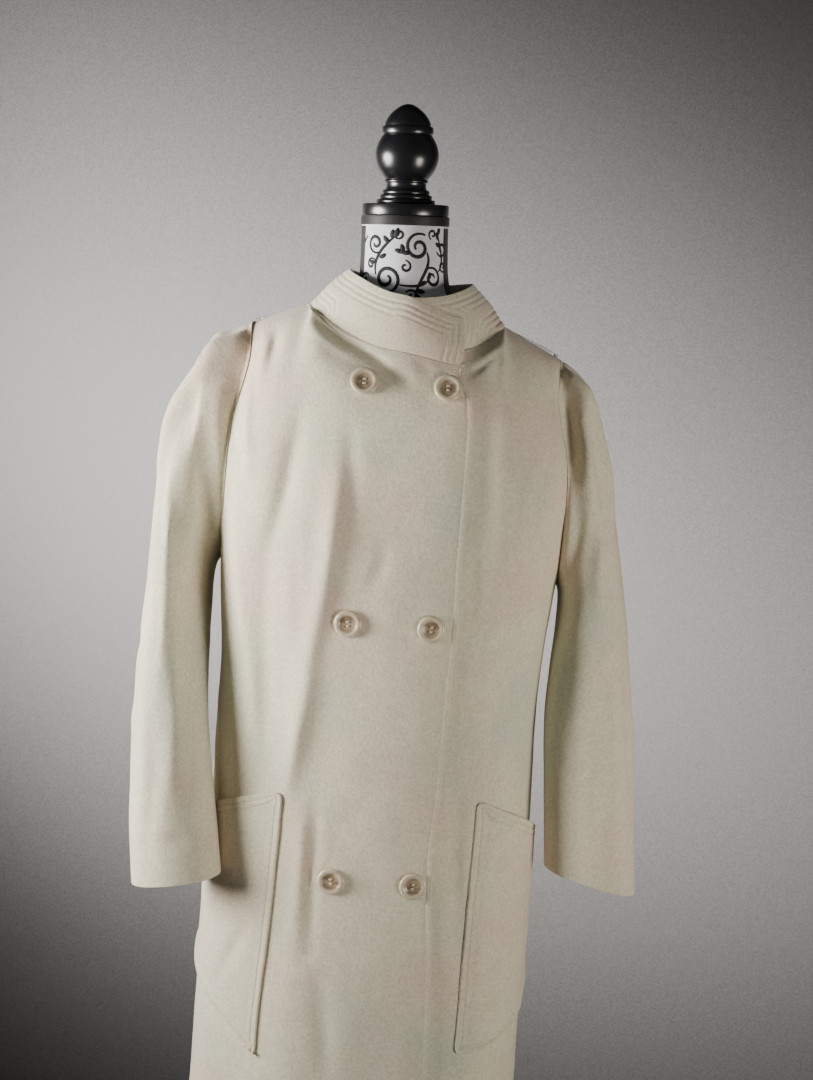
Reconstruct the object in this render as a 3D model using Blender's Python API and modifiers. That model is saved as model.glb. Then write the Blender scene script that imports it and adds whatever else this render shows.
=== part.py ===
"""Long double-breasted wool coat with a funnel collar, standing on a limbless dress form.

Frame: metres, +Z up, the front faces -Y, the wearer's left is +X.
The origin is the middle of the stand's underside.
"""
import math
from functools import lru_cache

import bmesh
import bpy
import numpy as np
from mathutils import Matrix, Vector

# ---------------------------------------------------------------- driving dimensions
CLOTH = 0.0025            # wall of the wool cloth
SEAM = 0.0003             # gap between sewn pieces
STEP_OFF = 0.0010         # gap between a layer and the layer that it lies on

HEM = 0.260               # heights above the floor
UNDERARM = 1.080
CHEST = 1.240

SHOULDER = (0.184, 0.004, 1.351)     # where the shoulder seam meets the armhole
NECK_SIDE = (0.116, 0.004, 1.381)    # where the shoulder seam meets the collar
NECK_FRONT_DEPTH = 0.104
NECK_BACK_DEPTH = 0.078
NECK_FRONT_DIP = 0.040
NECK_BACK_DIP = 0.015
NECK_SLOPE_FRONT = 0.42              # how far the cloth leans in where it meets the collar
NECK_SLOPE_BACK = 0.64
NECK_RISE = 0.91                     # and how steeply it still climbs there
SHOULDER_RISE = 0.05                 # and at the shoulder seam
CHEST_SLOPE = 0.04                   # how far it leans in at the chest
CHEST_PULL = 0.42                    # shares of the way over which each slope holds
SEAM_PULL = 0.40
NECK_SHARE = 0.42                    # share of a half panel's width that ends at the neck
NECK_COLUMNS = 7                     # columns of a half panel that end at the neck
SHOULDER_COLUMNS = 6                 # and at the shoulder seam
SKIRT_ROWS = 13                      # rows of a panel from the hem to the underarm
ARMHOLE_ROWS = (7, 8)                # from there to the chest, and on to the shoulder

COAT_SHIFT = 0.003                   # the coat hangs a little to one side of the form
SHOULDER_SHIFT = 0.005
SHOULDER_DROP = 0.055                # slope by which one shoulder hangs lower
HANG_LEVEL = 1.0                     # the tilt begins at this height and is full this far above
HANG_REACH = 0.25

ARMHOLE_FRONT = 0.062                # how far the armhole bows forward and back
ARMHOLE_BACK = 0.068
POCKET_COLUMN = 6                    # column of a half front that follows the pocket's edge
POCKET_FADE = (1.1, 2.0)             # and comes back to its even place between these levels
UNDERARM_LEAN = 1.6                  # slope of the sleeve against the body at the underarm
FOLD_END = 3.0                       # how much longer than wide a fold's ends run out
FOLD_END_HEIGHT = 0.45               # share of a fold's height that its ends keep
SEAM_CALM = (0.12, 0.25)             # folds fade out this far from the side and the top
UNDERLAP_COLUMNS = 3                 # columns that the front below runs past the centre
UNDERLAP_RISE = 0.14                 # over this much width it comes level with the front again
UNDERLAP_EASE = 0.119                # and over this much it does most of its way
OVERLAP_SAG = 0.19                   # how far the neck's overlapping end hangs down, in levels
OVERLAP_SAG_REACH = 0.20             # how far across it reaches that sag
SIDE_TRIM = 0.0008                   # shares of a panel that leave the seam gap
TOP_TRIM = 0.0020

COLLAR_TOP_RADIUS = 0.075
COLLAR_TOP_FRONT = 0.089
COLLAR_TOP_BACK = 0.058
COLLAR_TOP = 1.4255
COLLAR_FRONT_DIP = 0.022
COLLAR_BACK_DIP = 0.010
COLLAR_TOP_SAG = 0.46                # share of its height that the overlapping end slides down
COLLAR_END = (34.4, 42.5)            # degrees from centre front, at the seam and at the top
COLLAR_BOW = 0.0025                  # how far the band bulges between foot and top
COLLAR_LIFT = 0.0008                 # how far its overlapping end stands off
COLLAR_OVER = (330, 370)             # degrees over which it comes off, before the end
COLLAR_GAP = 0.00075                 # gap between its foot and the panels
COLLAR_GAP_OVER = 0.00135            # and at the overlapping end
COLLAR_ROWS = 4

BUTTON_RADIUS = 0.016
BUTTON_THICK = 0.0045
BUTTON_OFF = 0.0003                  # gap between a button and the cloth
BUTTON_COLUMNS = (-0.036, 0.059)
BUTTON_ROWS = (1.302, 1.030, 0.725)

NECK_LEAN = 2.3                      # degrees that the form's neck leans
NECK_PIVOT = 1.400
POLE_RADIUS = 0.0125
BASE_RADIUS = 0.170
BASE_HEIGHT = 0.022

# the body of the coat: height, half width, front depth, back depth, fullness of its corners
BODY = (
    (0.260, 0.209, 0.146, 0.136, 0.58),
    (0.420, 0.204, 0.142, 0.131, 0.58),
    (0.600, 0.199, 0.138, 0.126, 0.58),
    (0.780, 0.195, 0.135, 0.122, 0.59),
    (0.900, 0.193, 0.134, 0.120, 0.61),
    (0.985, 0.194, 0.134, 0.119, 0.64),
    (1.080, 0.2015, 0.134, 0.119, 0.69),
    (1.130, 0.2075, 0.133, 0.119, 0.72),
    (1.190, 0.2115, 0.131, 0.118, 0.75),
    (1.240, 0.2080, 0.128, 0.115, 0.76),
    (1.304, 0.1900, 0.120, 0.108, 0.76),
    (1.351, 0.1840, 0.110, 0.095, 0.76),
)
SECTION_FLAT = 0.66       # share of the half width over which front and back run flat

# free front edge: height, distance from the form's axis
FRONT_EDGE = (
    (0.260, 0.0900),
    (0.490, 0.0910),
    (0.620, 0.0880),
    (0.740, 0.0800),
    (0.850, 0.0850),
    (0.970, 0.0885),
    (1.290, 0.0885),
    (1.318, 0.0840),
    (1.335, 0.0765),
)

# soft folds of the fronts: x and z of each end, half width, height (a trough is negative)
FRONT_FOLDS = (
    (-0.106, 1.253, -0.123, 1.152, 0.017, -0.0045),
    (-0.123, 1.152, -0.135, 1.049, 0.019, -0.0045),
    (-0.135, 1.049, -0.122, 0.862, 0.020, -0.0040),
    (-0.061, 1.180, -0.065, 1.100, 0.015, 0.0045),
    (-0.079, 0.980, -0.096, 0.828, 0.017, 0.0065),
    (-0.180, 1.146, -0.156, 1.010, 0.017, 0.0035),
    (-0.156, 1.010, -0.134, 0.884, 0.017, 0.0040),
    (-0.076, 0.801, -0.076, 0.632, 0.018, 0.0030),
    (0.090, 0.735, 0.105, 0.613, 0.016, 0.0030),
    (0.102, 0.843, 0.117, 0.650, 0.014, -0.0035),
    (0.106, 1.290, 0.110, 1.080, 0.016, -0.0030),
    (0.190, 1.262, 0.155, 1.115, 0.018, 0.0035),
    (0.150, 1.060, 0.165, 0.880, 0.022, -0.0035),
    (-0.046, 1.345, 0.000, 1.315, 0.012, -0.0025),
    (-0.075, 0.500, -0.090, 0.060, 0.028, 0.0085),
    (-0.150, 0.480, -0.160, 0.060, 0.026, -0.0080),
    (0.030, 0.470, 0.036, 0.060, 0.030, -0.0065),
    (0.140, 0.490, 0.152, 0.060, 0.028, 0.0085),
)

# soft folds of the back
BACK_FOLDS = (
    (-0.060, 1.200, -0.080, 0.700, 0.028, 0.0065),
    (0.050, 1.140, 0.040, 0.560, 0.030, -0.0065),
    (0.120, 1.100, 0.140, 0.560, 0.028, 0.0060),
    (-0.125, 1.020, -0.130, 0.380, 0.028, -0.0065),
    (-0.010, 0.640, -0.020, 0.060, 0.032, 0.0095),
    (0.085, 0.560, 0.100, 0.060, 0.030, -0.0090),
    (-0.080, 0.520, -0.100, 0.060, 0.028, -0.0080),
    (0.160, 0.480, 0.170, 0.060, 0.026, 0.0070),
)

# sleeve sections: share of the way down, outer x and z, inner x and z, middle y, half depth,
# how far the front and back bow outwards
SLEEVE_LEFT = (
    (0.00, 0.1900, 1.3420, 0.2060, 1.072, 0.002, 0.0660, 0.000),
    (0.06, 0.2085, 1.3300, 0.2115, 1.062, 0.001, 0.0680, 0.008),
    (0.11, 0.2255, 1.3135, 0.2125, 1.050, 0.000, 0.0690, 0.012),
    (0.15, 0.2310, 1.2880, 0.2122, 1.041, -0.002, 0.0680, 0.013),
    (0.20, 0.2400, 1.2620, 0.2117, 1.030, -0.004, 0.0655, 0.013),
    (0.28, 0.2560, 1.2134, 0.2105, 1.010, -0.007, 0.0620, 0.011),
    (0.40, 0.2690, 1.1520, 0.2085, 0.980, -0.012, 0.0570, 0.007),
    (0.55, 0.2866, 1.0600, 0.2070, 0.935, -0.018, 0.0520, 0.003),
    (0.70, 0.3015, 0.9600, 0.2085, 0.880, -0.026, 0.0480, 0.000),
    (0.85, 0.3155, 0.8400, 0.2135, 0.808, -0.034, 0.0440, 0.000),
    (1.00, 0.3270, 0.7075, 0.2195, 0.735, -0.042, 0.0400, 0.000),
)
SLEEVE_RIGHT = (
    (0.00, -0.1780, 1.3580, -0.1985, 1.086, 0.002, 0.0660, 0.000),
    (0.06, -0.2040, 1.3470, -0.2045, 1.074, 0.001, 0.0680, -0.008),
    (0.11, -0.2240, 1.3420, -0.2065, 1.060, -0.001, 0.0690, -0.012),
    (0.15, -0.2300, 1.3150, -0.2068, 1.051, -0.003, 0.0680, -0.013),
    (0.20, -0.2500, 1.2850, -0.2070, 1.040, -0.006, 0.0660, -0.013),
    (0.24, -0.2610, 1.2680, -0.2068, 1.030, -0.009, 0.0640, -0.012),
    (0.30, -0.2680, 1.2350, -0.2065, 1.014, -0.013, 0.0612, -0.010),
    (0.40, -0.2730, 1.1650, -0.2055, 0.985, -0.023, 0.0570, -0.007),
    (0.55, -0.2767, 1.0600, -0.2020, 0.935, -0.042, 0.0520, -0.003),
    (0.70, -0.2812, 0.9400, -0.1960, 0.876, -0.065, 0.0480, 0.000),
    (0.85, -0.2800, 0.8250, -0.1830, 0.800, -0.085, 0.0440, 0.000),
    (1.00, -0.2700, 0.6990, -0.1700, 0.7190, -0.101, 0.0400, 0.000),
)

# pleats and folds of a sleeve: place round it (0 inner, 0.25 front, 0.5 outer),
# start and end down it, half width round it, height (a trough is negative)
SLEEVE_FOLDS = (
    (0.417, 0.00, 0.36, 0.024, -0.0100),
    (0.472, 0.00, 0.22, 0.022, 0.0060),
    (0.350, 0.00, 0.42, 0.026, 0.0060),
    (0.583, 0.00, 0.32, 0.024, -0.0090),
    (0.528, 0.00, 0.20, 0.022, 0.0055),
    (0.270, 0.30, 0.66, 0.026, -0.0045),
    (0.160, 0.42, 0.80, 0.028, 0.0040),
    (0.720, 0.36, 0.78, 0.030, -0.0045),
    (0.850, 0.30, 0.62, 0.030, 0.0040),
    (0.420, 0.60, 0.92, 0.030, 0.0035),
)

# patch pockets: x of the inner edge at the top and at the foot, heights of the corners,
# and how far the pocket's mouth stands off
POCKET_LEFT = {"inner_top": 0.1285, "inner_foot": 0.1216, "top": 0.8243, "top_outer": 0.752,
               "foot": 0.5177, "foot_outer": 0.625, "foot_bend": 2.0, "gape": 0.0065}
POCKET_RIGHT = {"inner_top": -0.0991, "inner_foot": -0.1138, "top": 0.8259, "top_outer": 0.752,
                "foot": 0.4979, "foot_outer": 0.614, "foot_bend": 0.8, "gape": 0.0030}
POCKET_BACK_COLUMNS = 2   # columns of the back that a pocket reaches
POCKET_ROWS = 9
POCKET_OFF = 0.0008       # gap between a pocket and its panel
POCKET_GAPE_END = 0.9     # share across a pocket where its mouth lies close again
POCKET_GAPE_POWER = 1.2
POCKET_GAPE_RISE = 0.8    # share of its height over which it comes to stand off

# the form's body: level on the coat (see cloth_level), gap to the cloth, slimness in x and y
TORSO = (
    (0.44, 0.006, 0.80, 0.84),
    (0.56, 0.006, 0.84, 0.86),
    (0.72, 0.008, 0.76, 0.74),
    (0.84, 0.008, 0.70, 0.68),
    (1.00, 0.008, 0.74, 0.76),
    (1.40, 0.006, 0.82, 0.86),
    (2.00, 0.005, 0.90, 0.90),
    (2.45, 0.0040, 0.97, 0.95),
    (2.80, 0.0020, 1.00, 1.00),
    (3.00, 0.0006, 1.00, 1.00),
)
NECK_CLEARANCE = 0.006    # extra room between the form and the collar
NECK_EASE = (0.08, 2.3, 0.3)   # it comes in over this width, above this level, over this rise
UNDERLAP_REACH = 0.62     # the form keeps clear of the double cloth this far across
UNDERLAP_FADE = 0.15
BELOW_TOP = 2.999         # the highest level with a sound outward direction
# neck of the form: height, radius
FORM_NECK = ((1.398, 0.060), (1.420, 0.0525), (1.450, 0.0510), (1.484, 0.0505))
# turned finial: height above its foot, radius (its foot stands on the neck disc)
FINIAL = (
    (0.0000, 0.0340), (0.0050, 0.0345), (0.0065, 0.0300), (0.0110, 0.0300), (0.0130, 0.0265),
    (0.0180, 0.0245), (0.0250, 0.0240), (0.0330, 0.0290), (0.0450, 0.0358), (0.0580, 0.0372),
    (0.0720, 0.0335), (0.0790, 0.0290), (0.0810, 0.0300), (0.0850, 0.0300), (0.0880, 0.0245),
    (0.0980, 0.0235), (0.1080, 0.0170), (0.1140, 0.0080),
)
# turned base: radius, height, from the middle of its top down its outer side
BASE = ((0.0, BASE_HEIGHT), (0.030, BASE_HEIGHT), (0.036, 0.014), (BASE_RADIUS - 0.012, 0.009),
        (BASE_RADIUS, 0.005), (BASE_RADIUS, 0.0), (0.0, 0.0))
DISC_FOOT = 1.4955
DISC_RADIUS = 0.051
DISC_THICK = 0.0135
DISC_BEVEL = 0.002
BAND_RADIUS = 0.052

COLOURS = {
    "wool": ((0.66, 0.60, 0.46), 0.95, 0.0),
    "horn": ((0.42, 0.30, 0.16), 0.35, 0.0),
    "black": ((0.012, 0.012, 0.013), 0.18, 0.0),
    "cover": ((0.72, 0.72, 0.74), 0.85, 0.0),
}


# ---------------------------------------------------------------- numbers and tables
def smooth(value):
    """Ease from 0 to 1 with level ends."""
    value = min(1.0, max(0.0, value))
    return value * value * (3.0 - 2.0 * value)


def spline(table, key):
    """The table's columns at a key of its first column, on a smooth curve through its rows."""
    last = len(table) - 1
    if key <= table[0][0]:
        return np.array(table[0][1:])
    if key >= table[last][0]:
        return np.array(table[last][1:])
    row = max(i for i in range(last) if table[i][0] <= key)
    rows = [np.array(table[min(last, max(0, row + step))]) for step in (-1, 0, 1, 2)]
    span = rows[2][0] - rows[1][0]
    share = (key - rows[1][0]) / span
    slopes = []
    for before, after in ((rows[0], rows[2]), (rows[1], rows[3])):
        width = max(after[0] - before[0], 1e-6)
        slopes.append((after[1:] - before[1:]) / width * span)
    two, three = share * share, share ** 3
    return ((2 * three - 3 * two + 1) * rows[1][1:] + (three - 2 * two + share) * slopes[0]
            + (3 * two - 2 * three) * rows[2][1:] + (three - two) * slopes[1])


def bezier(ends, share):
    """A point on the cubic curve with these four control points."""
    rest = 1.0 - share
    first, near, far, final = ends
    return (first * rest ** 3 + near * 3 * rest * rest * share
            + far * 3 * rest * share * share + final * share ** 3)


def unit(vector):
    """The vector at length one."""
    return vector / max(np.linalg.norm(vector), 1e-12)


def spread(first, final, count):
    """Evenly spaced values, both ends among them."""
    return [first + (final - first) * i / (count - 1) for i in range(count)]


# ---------------------------------------------------------------- the coat's form
# A half panel is read by `along` (0 at centre front or back, 1 at the side seam or armhole)
# and `level` (0 hem, 1 underarm, 2 chest, 3 neck seam and shoulder seam).
ARM_MIDDLE = (UNDERARM + SHOULDER[2]) / 2
ARM_HALF = (SHOULDER[2] - UNDERARM) / 2


def armhole_depth(turn, front):
    """How far forward or back one half of the armhole runs; turn is pi at the shoulder."""
    bow = -ARMHOLE_FRONT if front else ARMHOLE_BACK
    return SHOULDER[1] * (1 - math.cos(turn)) / 2 + bow * math.sin(turn) ** 0.9


def upper_armhole(share, front):
    """A point of the armhole between the chest (0) and the shoulder (1)."""
    start = turn_at(CHEST)
    turn = start + (math.pi - start) * share
    height = ARM_MIDDLE - ARM_HALF * math.cos(turn)
    narrow = spline(BODY, CHEST)[0] - level_row(1.0, CHEST, front)[0]
    x = spline(BODY, height)[0] - narrow * (1.0 - smooth(share))
    return np.array([x, armhole_depth(turn, front), height])


def turn_at(height):
    """The armhole's turn at a height."""
    share = (ARM_MIDDLE - height) / ARM_HALF
    return math.acos(min(1.0, max(-1.0, share)))


def armhole_level(turn):
    """The level of a turn of the armhole."""
    height = ARM_MIDDLE - ARM_HALF * math.cos(turn)
    if height <= CHEST:
        return 1.0 + max(0.0, height - UNDERARM) / (CHEST - UNDERARM)
    start = turn_at(CHEST)
    return min(3.0, 2.0 + (turn - start) / (math.pi - start))


def armhole_turn(level):
    """The armhole's turn at a level above the underarm."""
    if level <= 2.0:
        return turn_at(UNDERARM + (CHEST - UNDERARM) * (level - 1.0))
    start = turn_at(CHEST)
    return start + (math.pi - start) * (level - 2.0)


@lru_cache(maxsize=None)
def section(height, front):
    """The four control points of the body's section at a height, and how far the panel runs."""
    width, front_depth, back_depth, fullness = spline(BODY, height)
    depth = -front_depth if front else back_depth
    ends = (np.array([0.0, depth, height]), np.array([SECTION_FLAT * width, depth, height]),
            np.array([width, fullness * depth, height]), np.array([width, 0.0, height]))
    reach = 1.0
    if height > UNDERARM:
        edge = abs(armhole_depth(turn_at(height), front))
        low, high = 0.3, 1.0
        for _ in range(30):
            reach = (low + high) / 2
            if abs(bezier(ends, reach)[1]) > edge:
                low = reach
            else:
                high = reach
    return ends, reach


def level_row(along, height, front):
    """A level section of the body at a height up to the chest."""
    ends, reach = section(height, front)
    return bezier(ends, along - (1.0 - reach) * along * along)


def top_edge(along, front):
    """The neck seam, then the shoulder seam."""
    if along <= NECK_SHARE:
        angle = math.pi / 2 * along / NECK_SHARE
        depth = -NECK_FRONT_DEPTH if front else NECK_BACK_DEPTH
        dip = NECK_FRONT_DIP if front else NECK_BACK_DIP
        return np.array([NECK_SIDE[0] * math.sin(angle), NECK_SIDE[1] + depth * math.cos(angle),
                         NECK_SIDE[2] - dip * math.cos(angle) ** 2])
    share = (along - NECK_SHARE) / (1 - NECK_SHARE)
    return np.array(NECK_SIDE) * (1 - share) + np.array(SHOULDER) * share


def upper_column(along, share, front):
    """From the chest up to the neck seam or the shoulder seam."""
    foot = level_row(along, CHEST, front)
    top = top_edge(along, front)
    back = 1.0 if front else -1.0
    turn_in = smooth(along / NECK_SHARE)
    lean_in = NECK_SLOPE_FRONT if front else NECK_SLOPE_BACK
    rise = NECK_RISE + (SHOULDER_RISE - NECK_RISE) * turn_in
    finish = unit(np.array([0.0, back * (lean_in + (1 - lean_in) * turn_in), rise]))
    reach = np.linalg.norm(top - foot)
    near = foot + np.array([0.0, CHEST_SLOPE * back, 1.0]) * reach * CHEST_PULL
    far = top - finish * reach * SEAM_PULL
    return bezier((foot, near, far, top), share)


def plain_skin(along, level, front):
    """The coat's smooth outer surface before it hangs unevenly, on the +X half."""
    if level <= 1.0:
        return level_row(along, HEM + (UNDERARM - HEM) * level, front)
    if level <= 2.0:
        return level_row(along, UNDERARM + (CHEST - UNDERARM) * (level - 1.0), front)
    share = min(level - 2.0, 1.0)
    point = upper_column(along, share, front)
    edge_weight = smooth((along - NECK_SHARE) / (1 - NECK_SHARE))
    if edge_weight > 0:
        edge = upper_armhole(share, front)
        point = point + (edge - upper_column(1.0, share, front)) * edge_weight
    return point


def hang(point):
    """Shift the coat on the form and let one shoulder hang lower."""
    weight = smooth((point[2] - HANG_LEVEL) / HANG_REACH)
    x = point[0] + COAT_SHIFT + SHOULDER_SHIFT * weight
    return np.array([x, point[1], point[2] - SHOULDER_DROP * point[0] * weight])


def skin(across, level, front):
    """Outer surface: across runs from -1 (right side) through 0 (centre) to +1 (left side)."""
    point = plain_skin(abs(across), level, front)
    if across < 0:
        point = point * np.array([-1.0, 1.0, 1.0])
    return hang(point)


def skin_normal(across, level, front):
    """The outward direction of the outer surface."""
    step = 0.002
    left, right = max(-1.0, across - step), min(1.0, across + step)
    low, high = max(0.0, level - step * 3), min(3.0, level + step * 3)
    side = skin(right, level, front) - skin(left, level, front)
    rise = skin(across, high, front) - skin(across, low, front)
    normal = np.cross(side, rise)
    return unit(normal if front else -normal)


def relief(x, z, folds):
    """Height of the soft folds at a place."""
    total = 0.0
    for x0, z0, x1, z1, width, height in folds:
        run = np.array([x1 - x0, z1 - z0])
        share = np.dot(np.array([x - x0, z - z0]), run) / np.dot(run, run)
        held = min(1.0, max(0.0, share))
        beside = math.hypot(x - x0 - run[0] * share, z - z0 - run[1] * share)
        beyond = abs(share - held) * np.linalg.norm(run) / FOLD_END
        fade = FOLD_END_HEIGHT + (1 - FOLD_END_HEIGHT) * math.sin(math.pi * held)
        total += height * fade * math.exp(-(beside / width) ** 2 - (beyond / width) ** 2)
    return total


def cloth_point(across, level, front, lift=0.0):
    """Outer point of a panel with its folds, and the outward direction there."""
    base = skin(across, level, front)
    normal = skin_normal(across, level, front)
    calm = smooth((1 - abs(across)) / SEAM_CALM[0]) * smooth((3.0 - level) / SEAM_CALM[1])
    folds = relief(base[0], base[2], FRONT_FOLDS if front else BACK_FOLDS) * calm
    return base + normal * (folds + lift), normal


def across_at(x, level):
    """How far across a front the surface reaches this x."""
    low, high = -1.0, 1.0
    for _ in range(26):
        middle = (low + high) / 2
        if skin(middle, level, True)[0] < x:
            low = middle
        else:
            high = middle
    return (low + high) / 2


def level_at(height):
    """The level of a height below the chest."""
    if height <= UNDERARM:
        return (height - HEM) / (UNDERARM - HEM)
    return 1.0 + (height - UNDERARM) / (CHEST - UNDERARM)


# ---------------------------------------------------------------- armhole seam
def seam_direction(side, level, front):
    """Shared direction of the cloth's edge where panel and sleeve meet."""
    beside = skin_normal(side * (1 - 1e-4), level, front)
    turn = armhole_turn(level)
    low = math.cos(turn / 2) ** 2
    ahead = -1.0 if front else 1.0
    outward = np.array([-side * UNDERARM_LEAN * low, ahead * math.sin(turn), -math.cos(turn)])
    return unit(beside + unit(outward))


# ---------------------------------------------------------------- solids from sections
def wall(name, outer, inner, closed, material):
    """A closed cloth wall between two grids of points; closed grids run round in a ring."""
    mesh_data = bmesh.new()
    grids = []
    for grid in (outer, inner):
        grids.append([[mesh_data.verts.new(point) for point in row] for row in grid])
    rows, columns = len(outer), len(outer[0])
    steps = columns if closed else columns - 1
    for grid in grids:
        for i in range(rows - 1):
            for j in range(steps):
                k = (j + 1) % columns
                mesh_data.faces.new([grid[i][j], grid[i][k], grid[i + 1][k]])
                mesh_data.faces.new([grid[i][j], grid[i + 1][k], grid[i + 1][j]])
    for i in (0, rows - 1):
        for j in range(steps):
            k = (j + 1) % columns
            mesh_data.faces.new([grids[0][i][j], grids[0][i][k], grids[1][i][k], grids[1][i][j]])
    if not closed:
        for j in (0, columns - 1):
            for i in range(rows - 1):
                mesh_data.faces.new([grids[0][i][j], grids[0][i + 1][j],
                                     grids[1][i + 1][j], grids[1][i][j]])
    bmesh.ops.recalc_face_normals(mesh_data, faces=mesh_data.faces)
    if mesh_data.calc_volume(signed=True) < 0:
        bmesh.ops.reverse_faces(mesh_data, faces=mesh_data.faces)
    return finish_mesh(name, mesh_data, material)


def finish_mesh(name, mesh_data, material):
    """Turn mesh data into a smooth-shaded object of the coat."""
    mesh = bpy.data.meshes.new(name)
    mesh_data.to_mesh(mesh)
    mesh_data.free()
    mesh.shade_smooth()
    mesh.set_sharp_from_angle(angle=math.radians(50))
    mesh.materials.append(material)
    piece = bpy.data.objects.new(name, mesh)
    parts.objects.link(piece)
    return piece


def make_material(name):
    """A Principled material from the colour table."""
    colour, roughness, metallic = COLOURS[name]
    material = bpy.data.materials.new(name)
    material.use_nodes = True
    shader = material.node_tree.nodes["Principled BSDF"]
    shader.inputs["Base Color"].default_value = (*colour, 1.0)
    shader.inputs["Roughness"].default_value = roughness
    shader.inputs["Metallic"].default_value = metallic
    return material


# ---------------------------------------------------------------- panels
def panel_rows():
    """Levels of a panel's rows: even up to the underarm, then even round the armhole."""
    rows = spread(0.0, 1.0, SKIRT_ROWS + 1)
    chest_turn = turn_at(CHEST)
    for turn in spread(0.0, chest_turn, ARMHOLE_ROWS[0] + 1)[1:]:
        rows.append(armhole_level(turn))
    return rows + spread(2.0, 3.0, ARMHOLE_ROWS[1] + 1)[1:]


def half_columns():
    """Places across a half panel: those that end at the neck, then at the shoulder seam."""
    neck = spread(0.0, NECK_SHARE, NECK_COLUMNS + 1)
    return neck + spread(NECK_SHARE, 1.0, SHOULDER_COLUMNS + 1)[1:]


def pocket_start(side, level):
    """Where the inner edge of a side's pocket runs, carried on above and below it."""
    sizes = POCKET_LEFT if side > 0 else POCKET_RIGHT
    low, high = level_at(sizes["foot"]), level_at(sizes["top"])
    up = min(1.0, max(0.0, (level - low) / (high - low)))
    x = sizes["inner_foot"] + (sizes["inner_top"] - sizes["inner_foot"]) * up
    return abs(across_at(x, low + (high - low) * up))


def front_columns(side, level):
    """Places across a half front, one of them along the pocket's edge below the chest."""
    top = half_columns()
    start, lap = pocket_start(side, level), top[UNDERLAP_COLUMNS]
    low = top[:UNDERLAP_COLUMNS] + spread(lap, start, POCKET_COLUMN - UNDERLAP_COLUMNS + 1)
    low += spread(start, 1.0, len(top) - POCKET_COLUMN)[1:]
    weight = smooth((level - POCKET_FADE[0]) / (POCKET_FADE[1] - POCKET_FADE[0]))
    return [below + (above - below) * weight for below, above in zip(low, top)]


def edge_across(level):
    """Where the free front edge runs at a level."""
    height = skin(0.21, level, True)[2]
    return across_at(spline(FRONT_EDGE, height)[0], level)


def overlap_columns(level):
    """Places across the overlap, from the hidden edge to the free one."""
    neck_step = NECK_SHARE / NECK_COLUMNS
    columns = [neck_step * i for i in range(-UNDERLAP_COLUMNS, 3)]
    return columns + [NECK_SHARE * COLLAR_END[0] / 90, edge_across(level)]


def overlap_top(across):
    """The overlapping front's top level, which sags towards its free edge."""
    return 3.0 - OVERLAP_SAG * smooth(across / OVERLAP_SAG_REACH)


def underlap_drop(across, level):
    """How far the front below is pushed in, under the overlap."""
    clear = edge_across(level) + UNDERLAP_RISE
    return (CLOTH + STEP_OFF) * smooth((clear - across) / UNDERLAP_EASE)


def panel(name, front, columns_at, top_at, drop_at, material):
    """A cloth panel; the functions give its columns, its top and how far it is pushed in."""
    outer, inner = [], []
    for level in panel_rows():
        outer_row, inner_row = [], []
        for across in columns_at(level):
            here = level
            if level > 2.0:
                here = 2.0 + (level - 2.0) * (top_at(across) - TOP_TRIM - 2.0)
            trimmed = math.copysign(min(abs(across), 1.0 - SIDE_TRIM), across)
            point, normal = cloth_point(trimmed, here, front, -drop_at(across, here))
            if abs(across) == 1.0 and level > 1.0:
                normal = seam_direction(math.copysign(1, across), here, front)
            outer_row.append(point)
            inner_row.append(point - normal * CLOTH)
        outer.append(outer_row)
        inner.append(inner_row)
    return wall(name, outer, inner, False, material)


def coat_panels(material):
    """The overlapping front, the front below it and the back."""
    half = half_columns()

    def right_columns(level):
        places = front_columns(-1, level)[UNDERLAP_COLUMNS + 1:]
        return [-place for place in reversed(places)] + overlap_columns(level)

    def left_columns(level):
        return overlap_columns(level) + front_columns(1, level)[POCKET_COLUMN - 1:]

    def back_columns(_level):
        return [-place for place in reversed(half[1:])] + half

    def plain_top(_across):
        return 3.0

    def no_drop(_across, _level):
        return 0.0

    panel("front_right", True, right_columns, overlap_top, no_drop, material)
    panel("front_left", True, left_columns, plain_top, underlap_drop, material)
    panel("back", False, back_columns, plain_top, no_drop, material)


# ---------------------------------------------------------------- sleeves
SLEEVE_ROWS = 17
SLEEVE_CROWD = 1.35       # how much closer the rows lie at the head
SLEEVE_JOIN = 0.16        # share of the sleeve over which the armhole's shape fades out
SLEEVE_STEP = 0.004       # step for reading the sleeve's slope
SLEEVE_START = 0.02       # share of the sleeve that gives its direction at the armhole


def sleeve_section(table, share, place):
    """Smooth point of a sleeve section: place runs 0 inner, 0.25 front, 0.5 outer, 0.75 back."""
    outer_x, outer_z, inner_x, inner_z, middle_y, depth, bow = spline(table, share)
    angle = 2 * math.pi * place
    inward = (1 + math.cos(angle)) / 2
    x = outer_x + (inner_x - outer_x) * inward + bow * math.sin(angle) ** 2
    return np.array([x, middle_y - depth * math.sin(angle), outer_z + (inner_z - outer_z) * inward])


def sleeve_point(side, table, share, place):
    """Point of a sleeve, which starts on the armhole."""
    point = sleeve_section(table, share, place)
    weight = 1.0 - smooth(share / SLEEVE_JOIN)
    if weight > 0:
        front = place <= 0.5
        level = armhole_level(2 * math.pi * min(place, 1.0 - place))
        point = point + (skin(side, level, front) - sleeve_section(table, 0.0, place)) * weight
    return point


def sleeve_normal(side, table, share, place):
    """Outward direction of a sleeve."""
    low, high = max(0.0, share - SLEEVE_STEP), min(1.0, share + SLEEVE_STEP)
    down = sleeve_point(side, table, high, place) - sleeve_point(side, table, low, place)
    before, after = (place - SLEEVE_STEP) % 1.0, (place + SLEEVE_STEP) % 1.0
    around = sleeve_point(side, table, share, after) - sleeve_point(side, table, share, before)
    return unit(np.cross(around, down)) * side


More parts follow.
